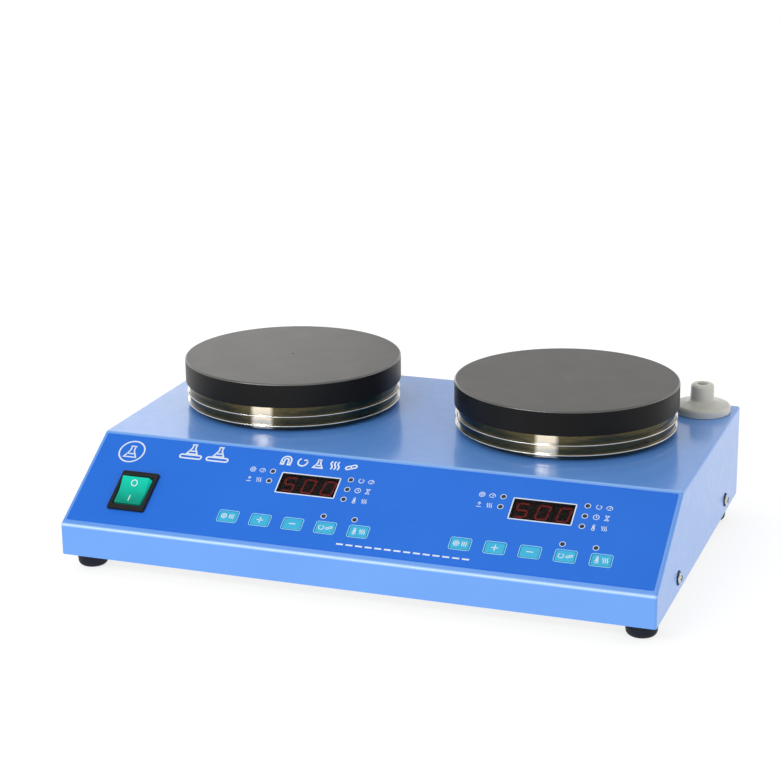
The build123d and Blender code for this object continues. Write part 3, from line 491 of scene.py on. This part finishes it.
def panel_place(x=0.0, v=0.0, n=0.0):
    """Matrix that stands a shape on the panel: its x to the right, y up the slope and z outwards."""
    axes = Matrix((Vector((1, 0, 0)), PANEL_UP, PANEL_OUT)).transposed().to_4x4()
    origin = PANEL_ORIGIN + Vector((x, 0, 0)) + PANEL_UP * v + PANEL_OUT * n
    return Matrix.Translation(origin) @ axes


def groups(points, reach):
    """Centres of the clusters that points fall in, each no wider than reach."""
    clusters = []
    for point in points:
        home = next((c for c in clusters if (c[0] - point).length < reach), None)
        if home:
            home.append(point)
        else:
            clusters.append([point])
    centres = []
    for cluster in clusters:
        low = [min(p[axis] for p in cluster) for axis in range(len(cluster[0]))]
        high = [max(p[axis] for p in cluster) for axis in range(len(cluster[0]))]
        centres.append(Vector([(a + b) / 2 for a, b in zip(low, high)]))
    return centres


def vertices_mm(node):
    return [vertex.co / MM for vertex in frame["nodes"][node].data.vertices]


# ---------------------------------------------------------------- heated plates

ROUND_STEPS = 256        # segments of the large turned pieces
PLATE_R = 72.5
PLATE_EDGE = 1.2
RECESS_R = 44.0
RECESS_DEEP = 8.0
DIMPLE_R = 1.3
DIMPLE_DEEP = 0.35


def make_plate(station, side_coating, top_painted_sheen, rim_painted_highlight):
    """Cast plate: dark edge, a top painted lighter as sheen, a rounded top edge painted brighter as a
    highlight, a centre mark and the heater's recess.
    """
    node = f"{station}_hot_plate"
    low, high = box_mm(node)
    middle = (low + high) / 2
    thick = high.z - low.z
    centre = (middle.x, middle.y, low.z)
    rim = rounded([
        (RECESS_R, RECESS_DEEP, 0), (RECESS_R, 0, 0.4), (PLATE_R, 0, 0.6), (PLATE_R, thick, PLATE_EDGE),
        (DIMPLE_R, thick, 0.15), (0.3, thick - DIMPLE_DEEP, 0),
    ], closed=False, steps=8)
    shape = Shape()
    shape.lathe(rim, centre, ROUND_STEPS, closed=False)
    coatings = [side_coating, top_painted_sheen, rim_painted_highlight]
    piece = shape.build(f"{station}_plate_casting", "case", coatings, [node])
    # Faces on the flat top take the lighter painted sheen, faces on the rounded top edge the painted
    # highlight.
    for face in piece.data.polygons:
        if face.center.z > (low.z + thick - 0.05) * MM:
            face.material_index = 1
        elif face.center.z > (low.z + thick - 0.75 * PLATE_EDGE) * MM:
            face.material_index = 2


RIM_OUT = 1.5
RIM_THICK = 0.8
RIM_RISE = 6.3
SKIRT_WALL = 0.8
SKIRT_FLOOR_R = 46.5
SKIRT_DROP = 1.9
SKIRT_BULGE = 0.07


def bulged(radius, low, high, steps=8):
    """Points up a wall that swells out a little between two heights."""
    points = []
    for step in range(steps + 1):
        along = step / steps
        swell = SKIRT_BULGE * (1 - (2 * along - 1) ** 2)
        points.append((radius - SKIRT_BULGE + swell, low + (high - low) * along))
    return points


def make_skirt(station, band, bright):
    """Polished band that swells between two thin rims, and its floor round the magnets' opening."""
    node = f"{station}_plate_skirt"
    low, high = box_mm(node)
    middle = (low + high) / 2
    rim_r = (high.x - low.x) / 2
    skirt_r = rim_r - RIM_OUT
    top = high.z - low.z
    inner = skirt_r - SKIRT_BULGE - SKIRT_WALL
    centre = (middle.x, middle.y, low.z)
    rims = [SKIRT_DROP, SKIRT_DROP + RIM_RISE]
    outside = [(skirt_r - 1.6, 0), (skirt_r - 0.9, 0.12), (skirt_r - 0.3, 0.6), (skirt_r - 0.1, 1.2)]
    outside += [(skirt_r - 0.1, SKIRT_DROP)]
    outside += bulged(skirt_r, rims[0] + RIM_THICK, rims[1])
    outside += bulged(skirt_r, rims[1] + RIM_THICK, top)
    shape = Shape()
    shape.lathe(outside + [(inner, top), (inner, SKIRT_WALL), (inner, 0)], centre, ROUND_STEPS)
    outer = inner + 0.1
    floor_section = [(SKIRT_FLOOR_R, 0), (outer, 0), (outer, SKIRT_WALL), (SKIRT_FLOOR_R, SKIRT_WALL)]
    shape.lathe(floor_section, centre, ROUND_STEPS)
    for height in rims:
        ring = rounded([
            (inner + 0.2, height, 0), (rim_r, height, 0.38),
            (rim_r, height + RIM_THICK, 0.38), (inner + 0.2, height + RIM_THICK, 0),
        ], steps=5)
        shape.lathe(ring, centre, ROUND_STEPS, slot=1)
    return shape.build(f"{station}_skirt_band", "case", [band, bright], [node])


def make_rod_socket(plastic):
    node = "rod_socket"
    low, high = box_mm(node)
    middle = (low + high) / 2
    flange = (high.x - low.x) / 2
    top = high.z - low.z
    neck, bore, shank = 7.6, 3.5, 2.0
    bore_floor = top - 14.0
    profile = rounded([
        (shank, 0, 0), (flange, 0, 0.6), (flange, 5.4, 2.4), (neck + 3.2, 6.9, 2.5), (neck + 0.3, 8.6, 1.6),
        (neck, top, 2.1), (bore, top, 0.7), (bore, bore_floor, 0), (shank, bore_floor, 0),
    ], steps=8)
    shape = Shape()
    shape.lathe(profile, (middle.x, middle.y, low.z), 128)
    shape.build("rod_socket_moulding", "case", [plastic], [node])


def make_feet(rubber):
    for end in ("front", "rear"):
        for side in STATIONS:
            node = f"foot_{end}_{side}"
            low, high = box_mm(node)
            middle = (low + high) / 2
            tall = high.z - low.z
            top_r = (high.x - low.x) / 2
            profile = rounded([
                (4.4, 5.5, 0), (4.4, 0, 0.4), (top_r - 1.1, 0, 3.4), (top_r, tall, 0.3),
                (2.2, tall, 0), (2.2, 5.5, 0),
            ], steps=6)
            shape = Shape()
            shape.lathe(profile, (middle.x, middle.y, low.z), 96)
            shape.build(f"{node}_rubber", "case", [rubber], [node])


# ---------------------------------------------------------------- panel controls

KEY_WIDTH = 12.4
KEY_LENGTH = 8.4
KEY_GAP = 0.3
KEY_CORNER = 1.1
KEY_TOP = 0.65
COLLAR_TOP = -1.5
INK = 0.05
INK_SUNK = 0.02          # how far printing reaches down into what it is printed on

WINDOW_WIDTH = 39.2
WINDOW_LENGTH = 16.5
SHEET = 1.2


def make_key(station, name, marks, plastic, ink):
    """Key with a slightly pillowed cap and its printed symbol."""
    node = f"{station}_key_{name}"
    spot = panel_spot(centre_mm(node))
    place = panel_place(spot.x, spot.y)
    bottom = min(panel_spot(point).z for point in vertices_mm(node))
    wide, long = KEY_WIDTH - 2 * KEY_GAP, KEY_LENGTH - 2 * KEY_GAP

    def cap(inset):
        return rounded_rectangle(wide - 2 * inset, long - 2 * inset, KEY_CORNER - inset * 0.6)

    shape = Shape()
    shape.stack([
        (circle(1.8), bottom), (circle(1.8), COLLAR_TOP - 0.8),
        (rounded_rectangle(KEY_WIDTH + 2, KEY_LENGTH + 2, 0.6), COLLAR_TOP - 0.8),
        (rounded_rectangle(KEY_WIDTH + 2, KEY_LENGTH + 2, 0.6), COLLAR_TOP),
        (cap(0), COLLAR_TOP), (cap(0), KEY_TOP - 0.28), (cap(0.04), KEY_TOP - 0.16),
        (cap(0.14), KEY_TOP - 0.06), (cap(0.3), KEY_TOP),
    ], place)
    draw_marks(shape, marks, 0, 0, place, KEY_TOP, 1)
    shape.build(f"{node}_cap", node, [plastic, ink], [node])


def draw_marks(shape, marks, x, v, place, level, slot):
    """Draws pictograms, each (strokes, size, across, line width), on the surface at level."""
    for strokes, size, across, width in marks:
        for points, closed in strokes:
            line = [(x + across + px * size, v + py * size) for px, py in points]
            shape.ribbon(line, width, place, level - INK_SUNK, level + INK, closed, slot)


def arc(x, y, radius, start, end, steps=20):
    """Points along an arc, with its angles in degrees."""
    turns = [radians(start + (end - start) * step / steps) for step in range(steps + 1)]
    return [(x + radius * cos(a), y + radius * sin(a)) for a in turns]


def ring(x, y, radius, steps=20):
    return arc(x, y, radius, 0, 360 - 360 / steps, steps - 1)


# Pictograms in a box of one unit: lists of (points, closed) strokes.
THERMOMETER = [
    (arc(0, 0.38, 0.12, 0, 180, 6) + arc(0, -0.3, 0.22, 123, 417, 14), True),
    ([(0, -0.3), (0, 0.2)], False),
]
WAVES = [
    ([(x + 0.09 * sin(step * tau / 12), -0.42 + step * 0.84 / 12) for step in range(13)], False)
    for x in (-0.3, 0, 0.3)
]
TURNING = [
    (arc(0, 0, 0.4, 120, 400), False),
    ([(0.07, 0.22), (0.32, 0.24), (0.46, 0.0)], False),
]
CLOCK = [(ring(0, 0, 0.43), True), ([(0, 0.28), (0, 0), (0.2, -0.1)], False)]
HOURGLASS = [([(-0.3, 0.42), (0.3, 0.42), (-0.3, -0.42), (0.3, -0.42)], True)]
GAUGE = [(arc(0, -0.12, 0.44, -15, 195), False), ([(0, -0.14), (0.2, 0.16)], False),
         ([(-0.3, -0.34), (0.3, -0.34)], False)]
UP_ARROW = [([(0, -0.12), (0, 0.44)], False), ([(-0.24, 0.18), (0, 0.44), (0.24, 0.18)], False),
            ([(-0.36, -0.4), (0.36, -0.4)], False)]
SLIDERS = [([(x, -0.42), (x, 0.42)], False) for x in (-0.3, 0, 0.3)]
SLIDERS += [([(x - 0.12, y), (x + 0.12, y)], False) for x, y in ((-0.3, 0.15), (0, -0.2), (0.3, 0.05))]
TARGET = [(ring(0, 0, 0.42), True), (ring(0, 0, 0.18, 12), True)]
STIR_BAR = [
    (arc(0.3, 0.12, 0.15, -68, 112, 8) + arc(-0.3, -0.12, 0.15, 112, 292, 8), True),
    ([(-0.05, 0.15), (0.05, -0.15)], False),
]
MAGNET = [
    (arc(0, 0.02, 0.42, 0, 180, 14) + [(-0.42, -0.42), (-0.18, -0.42)] + arc(0, 0.02, 0.18, 180, 0, 10)
     + [(0.18, -0.42), (0.42, -0.42)], True),
    ([(-0.42, -0.2), (-0.18, -0.2)], False), ([(0.18, -0.2), (0.42, -0.2)], False),
]
FLASK = [
    ([(-0.12, 0.42), (-0.12, 0.1), (-0.4, -0.42), (0.4, -0.42), (0.12, 0.1), (0.12, 0.42)], False),
    ([(-0.2, 0.42), (0.2, 0.42)], False), ([(-0.27, -0.16), (0.27, -0.16)], False),
]
PLUS = [([(-0.5, 0), (0.5, 0)], False), ([(0, -0.5), (0, 0.5)], False)]
MINUS = [([(-0.5, 0), (0.5, 0)], False)]

KEY_MARKS = {
    "set": [(TARGET, 4.0, -2.5, 0.5), (SLIDERS, 4.0, 2.5, 0.5)],
    "plus": [(PLUS, 4.2, 0, 0.6)],
    "minus": [(MINUS, 4.4, 0, 0.6)],
    "stir": [(TURNING, 4.2, -2.5, 0.5), (STIR_BAR, 4.2, 2.5, 0.5)],
    "heat": [(THERMOMETER, 4.4, -2.5, 0.45), (WAVES, 4.2, 2.5, 0.5)],
}
LABELS = [(TARGET, GAUGE), (UP_ARROW, WAVES), (TURNING, GAUGE), (CLOCK, HOURGLASS), (THERMOMETER, WAVES)]


def lamp_spots():
    """Middle of each indicator lamp on the panel."""
    spots = [panel_spot(point) for point in vertices_mm("indicator_lamps")]
    top = max(spot.z for spot in spots)
    return groups([spot.xy for spot in spots if spot.z > top - 0.05], 3.2)


def station_middle(station):
    return panel_spot(centre_mm(f"{station}_display_window"))


def make_lamps(lens):
    """Indicator lamps: a low dome in each hole of the film, on the spacer behind it."""
    radius = 1.3
    shape = Shape()
    bottom = min(panel_spot(point).z for point in vertices_mm("indicator_lamps"))
    for spot in lamp_spots():
        turns = (0, pi / 8, pi / 4, 3 * pi / 8, 0.46 * pi)
        dome = [(radius * cos(a), FILM_THICK + 0.3 * sin(a)) for a in turns]
        levels = [(circle(2.0), bottom), (circle(2.0), bottom + 6.4), (circle(radius), bottom + 6.4)]
        levels += [(circle(r), n) for r, n in dome]
        shape.stack(levels, panel_place(*spot))
    shape.build("lamp_lenses", "case", [lens], ["indicator_lamps"])


DIGIT_HIGH = 10.3
DIGIT_RISE = 0.5         # the module sits below the film, so the digits are set a little up the slope
DIGIT_WIDE = 6.9
DIGIT_PITCH = 13.0
DIGIT_LEAN = 0.12
SEGMENT = 1.25
FIGURES = {"5": "afgcd", "0": "abcdef"}


def digit_segments():
    """Outlines of the seven segments of a digit that leans to the right, by letter."""
    x, y, half = DIGIT_WIDE / 2, DIGIT_HIGH / 2, SEGMENT / 2
    middles = {
        "a": ((-x, y), (x, y)), "b": ((x, y), (x, 0)), "c": ((x, 0), (x, -y)), "d": ((-x, -y), (x, -y)),
        "e": ((-x, 0), (-x, -y)), "f": ((-x, y), (-x, 0)), "g": ((-x, 0), (x, 0)),
    }
    outlines = {}
    for letter, (start, end) in middles.items():
        start, end = Vector(start), Vector(end)
        along = (end - start).normalized()
        side = Vector((-along.y, along.x)) * half
        start, end = start + along * 0.12, end - along * 0.12
        outline = [start, start + along * half + side, end - along * half + side,
                   end, end - along * half - side, start + along * half - side]
        outlines[letter] = [(point.x + point.y * DIGIT_LEAN, point.y) for point in outline]
    return outlines


def make_display(station, window, face, lit, unlit):
    spot = station_middle(station)
    place = panel_place(spot.x, spot.y)
    pane = [(inset, n) for inset, n in ((0.05, -SHEET), (0.05, FILM_THICK - 0.12), (0.2, FILM_THICK))]
    shape = Shape()
    shape.stack([(rounded_rectangle(WINDOW_WIDTH - 2 * inset, WINDOW_LENGTH - 2 * inset, 0.3), n)
                 for inset, n in pane], place)
    shape.build(f"{station}_window_pane", "case", [window], [f"{station}_display_window"])
    digits = Shape()
    level = max(panel_spot(point).z for point in vertices_mm(f"{station}_display_module"))
    for number, figure in enumerate("500"):
        across = (number - 1) * DIGIT_PITCH
        for letter, outline in digit_segments().items():
            moved = [(x + across, y + DIGIT_RISE) for x, y in outline]
            slot = 0 if letter in FIGURES[figure] else 1
            digits.stack([(moved, level - 0.02), (moved, level + 0.08)], place, slot)
    digits.build(f"{station}_digits", "case", [lit, unlit], even=False)
    frame["nodes"][f"{station}_display_module"].data.materials[0] = face


def make_printing(ink, key_border):
    """Print on the film: window borders, lamp rings and pictograms in white, pale cyan round the keys."""
    level = FILM_THICK
    lamps = lamp_spots()
    for station in STATIONS:
        shape = Shape()
        middle = station_middle(station)
        place = panel_place()
        border = rounded_rectangle(WINDOW_WIDTH - 0.5, WINDOW_LENGTH - 0.6, 0.5)
        shape.ribbon(border, 0.75, panel_place(middle.x, middle.y), level - INK_SUNK, level + INK, True)
        here = [spot for spot in lamps if abs(spot.x - middle.x) < 45]
        for spot in here:
            shape.ribbon(ring(spot.x, spot.y, 1.70, 32), 0.42, place, level - INK_SUNK, level + INK, True)
        rows = sorted([s for s in here if s.x < middle.x - 20], key=lambda s: -s.y)
        rows += sorted([s for s in here if s.x > middle.x + 20 and s.y > middle.y - 12], key=lambda s: -s.y)
        for spot, icons in zip(rows, LABELS):
            side = -1 if spot.x < middle.x else 1
            near, far = spot.x + side * 6.9, spot.x + side * 13.4
            marks = [(icons[0], 4.1, min(near, far), 0.42), (icons[1], 4.1, max(near, far), 0.42)]
            draw_marks(shape, marks, 0, spot.y, place, level, 0)
        for name in KEY_MARKS:
            key = panel_spot(centre_mm(f"{station}_key_{name}"))
            border = rounded_rectangle(KEY_WIDTH + 0.6, KEY_LENGTH + 0.6, KEY_CORNER + 0.3)
            shape.ribbon(border, 0.45, panel_place(key.x, key.y), level - INK_SUNK, level + INK, True, 1)
        shape.build(f"{station}_printing", "case", [ink, key_border], even=False)


TITLE_V = 64.9
TITLE_X = (-60.0, -49.2, -38.4, -27.6, -16.8)
TITLE_ICONS = (MAGNET, TURNING, FLASK, WAVES, STIR_BAR)
TITLE_SIZE = 7.6
EMBLEM_X, EMBLEM_V = -165.0, 58.6
SIGN_X, SIGN_V = -115.0, 63.0
SIGN_HALF_PITCH = 9.2
DASHES = 14
DASH_X, DASH_V = -8.0, 5.6
DASH_PITCH = 6.1
DASH_LONG = 4.4
LINE_WIDE = 1.1


def make_title(ink):
    """Row of pictograms over the left display, flask emblem, two flask-on-plate signs, dashed rule."""
    shape = Shape()
    place = panel_place()
    for icon, x in zip(TITLE_ICONS, TITLE_X):
        draw_marks(shape, [(icon, TITLE_SIZE, x, 1.0)], 0, TITLE_V, place, FILM_THICK, 0)
    emblem = [(ring_icon(40), 17.0, EMBLEM_X, 1.0), (FLASK, 10.5, EMBLEM_X, 0.9)]
    draw_marks(shape, emblem, 0, EMBLEM_V, place, FILM_THICK, 0)
    low, high = FILM_THICK - INK_SUNK, FILM_THICK + INK
    for number in range(DASHES):
        x = DASH_X + number * DASH_PITCH
        shape.ribbon([(x, DASH_V), (x + DASH_LONG, DASH_V)], LINE_WIDE, place, low, high)
    for side in (-1, 1):
        x = SIGN_X + side * SIGN_HALF_PITCH
        plate = [(x + p.x, SIGN_V - 3.4 + p.y) for p in rounded_rectangle(14.6, 2.8, 1.3)]
        shape.ribbon(plate, LINE_WIDE, place, low, high, True)
        draw_marks(shape, [(FLASK, 9.0, x, 1.0)], 0, SIGN_V + 2.7, place, FILM_THICK, 0)
    shape.build("panel_emblems", "case", [ink], even=False)


def ring_icon(steps):
    return [(ring(0, 0, 0.5, steps), True)]


# ---------------------------------------------------------------- power switch

BEZEL_WIDTH = 25.6
BEZEL_LENGTH = 30.8
BEZEL_TOP = 2.7
WELL_WIDTH = 18.6
WELL_LENGTH = 22.1
BODY_DEEP = -15.5
ROCKER_WIDTH = 18.0
ROCKER_TILT = radians(10.0)
ROCKER_GAP = 0.3
PIVOT_R = 1.5
PIVOT_REACH = 10.3


def make_switch_body(pivot, black):
    """Bezel with a rounded frame round its well, on a body with four tabs."""
    spot = panel_spot(pivot)
    place = panel_place(spot.x, spot.y)

    def outer(inset, radius):
        return rounded_rectangle(BEZEL_WIDTH - 2 * inset, BEZEL_LENGTH - 2 * inset, radius)

    def well(extra, radius):
        return rounded_rectangle(WELL_WIDTH + 2 * extra, WELL_LENGTH + 2 * extra, radius)

    neck = rounded_rectangle(BEZEL_WIDTH - 4.0, BEZEL_LENGTH - 3.4, 0.6)
    shape = Shape()
    shape.stack([
        (neck, BODY_DEEP), (neck, FILM_THICK), (outer(0, 1.4), FILM_THICK), (outer(0, 1.4), FILM_THICK + 0.6),
        (outer(0.3, 1.3), BEZEL_TOP - 0.6), (outer(0.6, 1.1), BEZEL_TOP - 0.15), (outer(1.0, 0.9), BEZEL_TOP),
        (well(1.4, 0.7), BEZEL_TOP), (well(0.9, 0.6), BEZEL_TOP - 0.25), (well(0.0, 0.4), BEZEL_TOP - 1.6),
        (well(0.0, 0.4), BODY_DEEP + 4.2),
    ], place)
    for x in (-6, 6):
        for v in (-6, 6):
            tab = [(point.x + x, point.y + v) for point in rounded_rectangle(0.8, 6.3, 0.2)]
            shape.stack([(tab, BODY_DEEP - 8.0), (tab, BODY_DEEP + 0.5)], place)
    shape.build("switch_bezel", "case", [black], ["power_switch_body"])


def make_rocker(pivot, green, ink):
    """Rocker with a shallow V across its face, tipped to ON, with its ring and bar printed on it."""
    uphill = PANEL_UP * cos(ROCKER_TILT) + PANEL_OUT * sin(ROCKER_TILT)
    across = Vector((1, 0, 0))
    outward = across.cross(uphill)
    turned = Matrix((uphill, outward, across)).transposed().to_4x4()
    place = Matrix.Translation(pivot) @ turned
    slant = sin(ROCKER_TILT) / cos(ROCKER_TILT)
    half = (WELL_LENGTH / 2 - ROCKER_GAP) / cos(ROCKER_TILT)
    end_high = BEZEL_TOP - panel_spot(pivot).z + 1.6
    tip = half - end_high * slant
    valley = end_high - tip * slant
    section = rounded([
        (-half, 0, 0.5), (-tip, end_high, 0.7), (0, valley, 8.0), (tip, end_high, 0.7), (half, 0, 0.5),
        (half - 2 * slant, -2, 0.4), (4, -2, 0.8), (2.5, -6, 0.6), (-2.5, -6, 0.6), (-4, -2, 0.8),
        (2 * slant - half, -2, 0.4),
    ], steps=6)
    shape = Shape()
    shape.stack([(section, -ROCKER_WIDTH / 2), (section, ROCKER_WIDTH / 2)], place)
    shape.stack([(circle(PIVOT_R), -PIVOT_REACH), (circle(PIVOT_R), PIVOT_REACH)], place)
    for end, strokes in ((1, [(ring(0, 0, 1.95, 32), True)]), (-1, [([(0, -2.3), (0, 2.3)], False)])):
        run = Vector((tip * end, (end_high - valley))).normalized() * end
        middle = Vector((tip * end * 0.56, valley + (end_high - valley) * 0.56))
        along = uphill * run.x + outward * run.y
        face = Matrix((across, along, across.cross(along))).transposed().to_4x4()
        seat = Matrix.Translation(pivot + uphill * middle.x + outward * middle.y) @ face
        for points, closed in strokes:
            shape.ribbon(points, 0.62, seat, -0.05, 0.06, closed, 1)
    piece = shape.build("rocker_cap", "power_rocker", [green, ink], ["power_rocker"],
                        even=False)
    bevel = piece.modifiers.new("soft_ends", "BEVEL")
    bevel.width = 0.35 * MM
    bevel.segments = 3
    bevel.angle_limit = radians(60)
    piece.modifiers.new("even_normals", "WEIGHTED_NORMAL").keep_sharp = True


# ---------------------------------------------------------------- side screws

WASHER_R = 4.5
WASHER_TEETH = 12
WASHER_THICK = 0.6
HEAD_R = 3.1
HEAD_HIGH = 2.3
SHANK_R = 2.0
SHANK_LONG = 8.0


def make_side_screws(steel, dark):
    """Domed screws with captive toothed washers in both sides."""
    side_x = box_mm("housing_shell")[1].x
    heads = groups([point for point in vertices_mm("side_screws") if abs(point.x) > side_x + 0.01], 12.0)
    shape = Shape()
    for head in heads:
        side = 1 if head.x > 0 else -1
        axes = Matrix((Vector((0, side, 0)), Vector((0, 0, 1)), Vector((side, 0, 0)))).transposed().to_4x4()
        place = Matrix.Translation((side * side_x, head.y, head.z)) @ axes
        count = 4 * WASHER_TEETH
        teeth = []
        for number in range(count):
            reach = WASHER_R if number % 4 < 2 else WASHER_R - 0.9
            teeth.append((reach * cos(tau * number / count), reach * sin(tau * number / count)))
        shape.stack([(teeth, 0), (teeth, WASHER_THICK)], place, slot=1)
        dome = [(SHANK_R, -SHANK_LONG), (SHANK_R, 0.1), (HEAD_R, 0.1)]
        dome += [(HEAD_R * cos(a), WASHER_THICK + (HEAD_HIGH - WASHER_THICK) * sin(a))
                 for a in [pi / 2 * step / 12 for step in range(12)]]
        shape.stack([(circle(r, 48), n) for r, n in dome], place)
        # A dark cross standing on the dome stands in for the shaded cross recess: painted shade.
        for turn in (0, pi / 2):
            slot = [(2.0 * cos(turn), 2.0 * sin(turn)), (-2.0 * cos(turn), -2.0 * sin(turn))]
            shape.ribbon(slot, 0.7, place, HEAD_HIGH - 0.5, HEAD_HIGH + 0.01, slot=1)
    shape.build("side_screw_heads", "case", [steel, dark], ["side_screws"])


# ---------------------------------------------------------------- everything

make_camera()
make_world()
make_lights()

floor_finish = plain_finish("floor_sweep", (0.30, 0.30, 0.30), (0.33, 0.33, 0.33), (0.75, 0.85), 40.0, 0.02,
                            2.0, Emission_Color=(1, 1, 1, 1), Emission_Strength=0.76)
floor_mesh = bpy.data.meshes.new("floor")
FLOOR_HALF = 9.0
floor_mesh.from_pydata([(-FLOOR_HALF, -FLOOR_HALF, 0), (FLOOR_HALF, -FLOOR_HALF, 0),
                        (FLOOR_HALF, FLOOR_HALF, 0), (-FLOOR_HALF, FLOOR_HALF, 0)], [], [(0, 1, 2, 3)])
floor_mesh.materials.append(floor_finish)
floor = bpy.data.objects.new("floor", floor_mesh)
bpy.context.scene.collection.objects.link(floor)

shell_low, shell_high = (corner * MM for corner in box_mm("housing_shell"))
lower_fold = (shell_low.y, LIP_Z * MM)
upper_fold = (FOLD_Y * MM, shell_high.z)
# The paler colours on the lower and upper folds are painted highlights.
paint = case_paint([(lower_fold, (0.44, 0.66, 0.98)), (upper_fold, (0.20, 0.43, 0.86))])
film = film_print()
plate_edge = plate_coating("plate_edge", (0.006, 0.006, 0.006), (0.010, 0.010, 0.010), (0.3, 0.42), IOR=1.22)
# plate_top_sheen is painted lighter than plate_edge as the top's sheen, and plate_rim_highlight brighter as a
# highlight on the rounded top edge: painted light.
plate_top_sheen = plate_coating("plate_top_sheen", (0.035, 0.034, 0.031), (0.039, 0.037, 0.034), (0.385, 0.43), IOR=1.6)
plate_rim_highlight = plate_coating("plate_rim_highlight", (0.05, 0.05, 0.047), (0.08, 0.08, 0.075), (0.16, 0.26), IOR=1.9)
bright = polished_band("skirt_rim", (0.66, 0.65, 0.62), (0.78, 0.77, 0.75), (0.10, 0.2))
ink = plain_finish("white_ink", (0.66, 0.74, 0.84), (0.74, 0.81, 0.90), (0.4, 0.5), 2500.0, 0.002)
cyan = plain_finish("key_plastic", (0.020, 0.40, 0.66), (0.03, 0.45, 0.72), (0.3, 0.42), 1500.0, 0.003, 60.0,
                    IOR=1.45)
key_border = plain_finish("cyan_ink", (0.26, 0.66, 0.82), (0.32, 0.72, 0.86), (0.4, 0.5), 2500.0, 0.002)
grey = plain_finish("socket_plastic", (0.51, 0.515, 0.475), (0.56, 0.565, 0.52), (0.24, 0.29), 2600.0,
                    0.002, 40.0, Coat_Weight=0.3)
rubber = plain_finish("foot_rubber", (0.006, 0.009, 0.018), (0.010, 0.014, 0.026), (0.5, 0.7), 1800.0,
                      0.02, IOR=1.3)
black = plain_finish("switch_plastic", (0.008, 0.008, 0.009), (0.013, 0.013, 0.015), (0.28, 0.42),
                     1500.0, 0.006, IOR=1.3)
window = smoked_window()
face = plain_finish("module_face", (0.004, 0.002, 0.002), (0.008, 0.004, 0.004), (0.5, 0.65), 1200.0, 0.004,
                    IOR=1.25)
lit = glowing("segment_lit", (0.62, 0.02, 0.012), 0.32)
unlit = glowing("segment_unlit", (0.010, 0.002, 0.002), 0.0)
lens = plain_finish("lamp_lens", (0.006, 0.006, 0.008), (0.012, 0.012, 0.016), (0.08, 0.16), 900.0, 0.002)
steel = brushed_finish("screw_steel", (0.5, 0.49, 0.47), (0.7, 0.69, 0.66), (0.18, 0.3),
                       (900.0, 900.0, 900.0))
dark_steel = brushed_finish("washer_steel", (0.02, 0.02, 0.02), (0.05, 0.05, 0.05), (0.35, 0.5),
                            (900.0, 900.0, 900.0))
zinc = brushed_finish("tray_steel", (0.36, 0.37, 0.39), (0.46, 0.47, 0.49), (0.35, 0.5), (14.0, 900.0, 900.0))
satin = brushed_finish("turned_steel", (0.42, 0.41, 0.40), (0.58, 0.57, 0.55), (0.25, 0.4),
                       (900.0, 60.0, 900.0))
brass = brushed_finish("plated_brass", (0.62, 0.56, 0.42), (0.72, 0.67, 0.52), (0.2, 0.32),
                       (900.0, 40.0, 900.0))
nickel = brushed_finish("magnet_plating", (0.50, 0.50, 0.51), (0.64, 0.64, 0.65), (0.14, 0.24),
                        (500.0, 500.0, 500.0))
cast = brushed_finish("cast_aluminium", (0.36, 0.36, 0.36), (0.50, 0.50, 0.50), (0.4, 0.6),
                      (300.0, 300.0, 300.0), 0.03)
can = brushed_finish("motor_can", (0.30, 0.31, 0.32), (0.42, 0.43, 0.45), (0.3, 0.45), (30.0, 900.0, 900.0))
core = plain_finish("transformer_core", (0.020, 0.018, 0.017), (0.05, 0.045, 0.04), (0.4, 0.6), 700.0,
                    0.02, 60.0)
board = plain_finish("solder_mask", (0.004, 0.07, 0.022), (0.008, 0.11, 0.036), (0.2, 0.35), 1400.0,
                     0.004, 80.0)
wool = plain_finish("ceramic_wool", (0.58, 0.56, 0.50), (0.74, 0.72, 0.66), (0.85, 0.95), 800.0, 0.12, 90.0)
ceramic = plain_finish("fuse_ceramic", (0.52, 0.53, 0.50), (0.64, 0.65, 0.62), (0.12, 0.24), 900.0, 0.004)
rocker_tip = next(joint for joint in frame["joints"] if joint["name"] == "power_rocker_tip")
pivot = Vector(rocker_tip["pos_m"]) / MM
green = rocker_plastic(pivot * MM, PANEL_UP, 0.011)

CAD_FINISHES = {
    "housing_shell": paint, "base_tray": zinc, "panel_film": film, "plate_posts": dark_steel,
    "probe_sockets": satin, "left_motor_shaft": satin, "right_motor_shaft": satin,
}
SLOT_FINISHES = {
    "screw_steel": steel, "switch_black": black, "fuse_glass": ceramic, "pin_brass": brass,
    "board_green": board, "magnet_grey": nickel, "heater_metal": cast, "insulation": wool,
    "motor_metal": can, "module_black": black, "core_dark": core, "tray_grey": zinc,
}
for name, node in frame["nodes"].items():
    slot = node.data.materials[0].name
    if name in CAD_FINISHES or slot in SLOT_FINISHES:
        node.data.materials[0] = CAD_FINISHES.get(name) or SLOT_FINISHES[slot]

for station in STATIONS:
    make_plate(station, plate_edge, plate_top_sheen, plate_rim_highlight)
    # The band's dark brown colours are painted dark reflection, standing for the dark surroundings the
    # polished steel mirrors; the paler streak is a painted highlight.
    highlight_streak = (centre_mm(f"{station}_plate_skirt") * MM, radians(5.0), (0.52, 0.47, 0.38))
    band = polished_band(f"{station}_band", (0.050, 0.044, 0.022), (0.10, 0.087, 0.046), (0.15, 0.24), highlight_streak)
    light_skirt(station, SKIRT_STRIPS[station], make_skirt(station, band, bright))
    make_display(station, window, face, lit, unlit)
    for name, marks in KEY_MARKS.items():
        make_key(station, name, marks, cyan, ink)
make_rod_socket(grey)
make_feet(rubber)
make_side_screws(steel, dark_steel)
make_lamps(lens)
make_printing(ink, key_border)
make_title(ink)
make_switch_body(pivot, black)
make_rocker(pivot, green, ink)
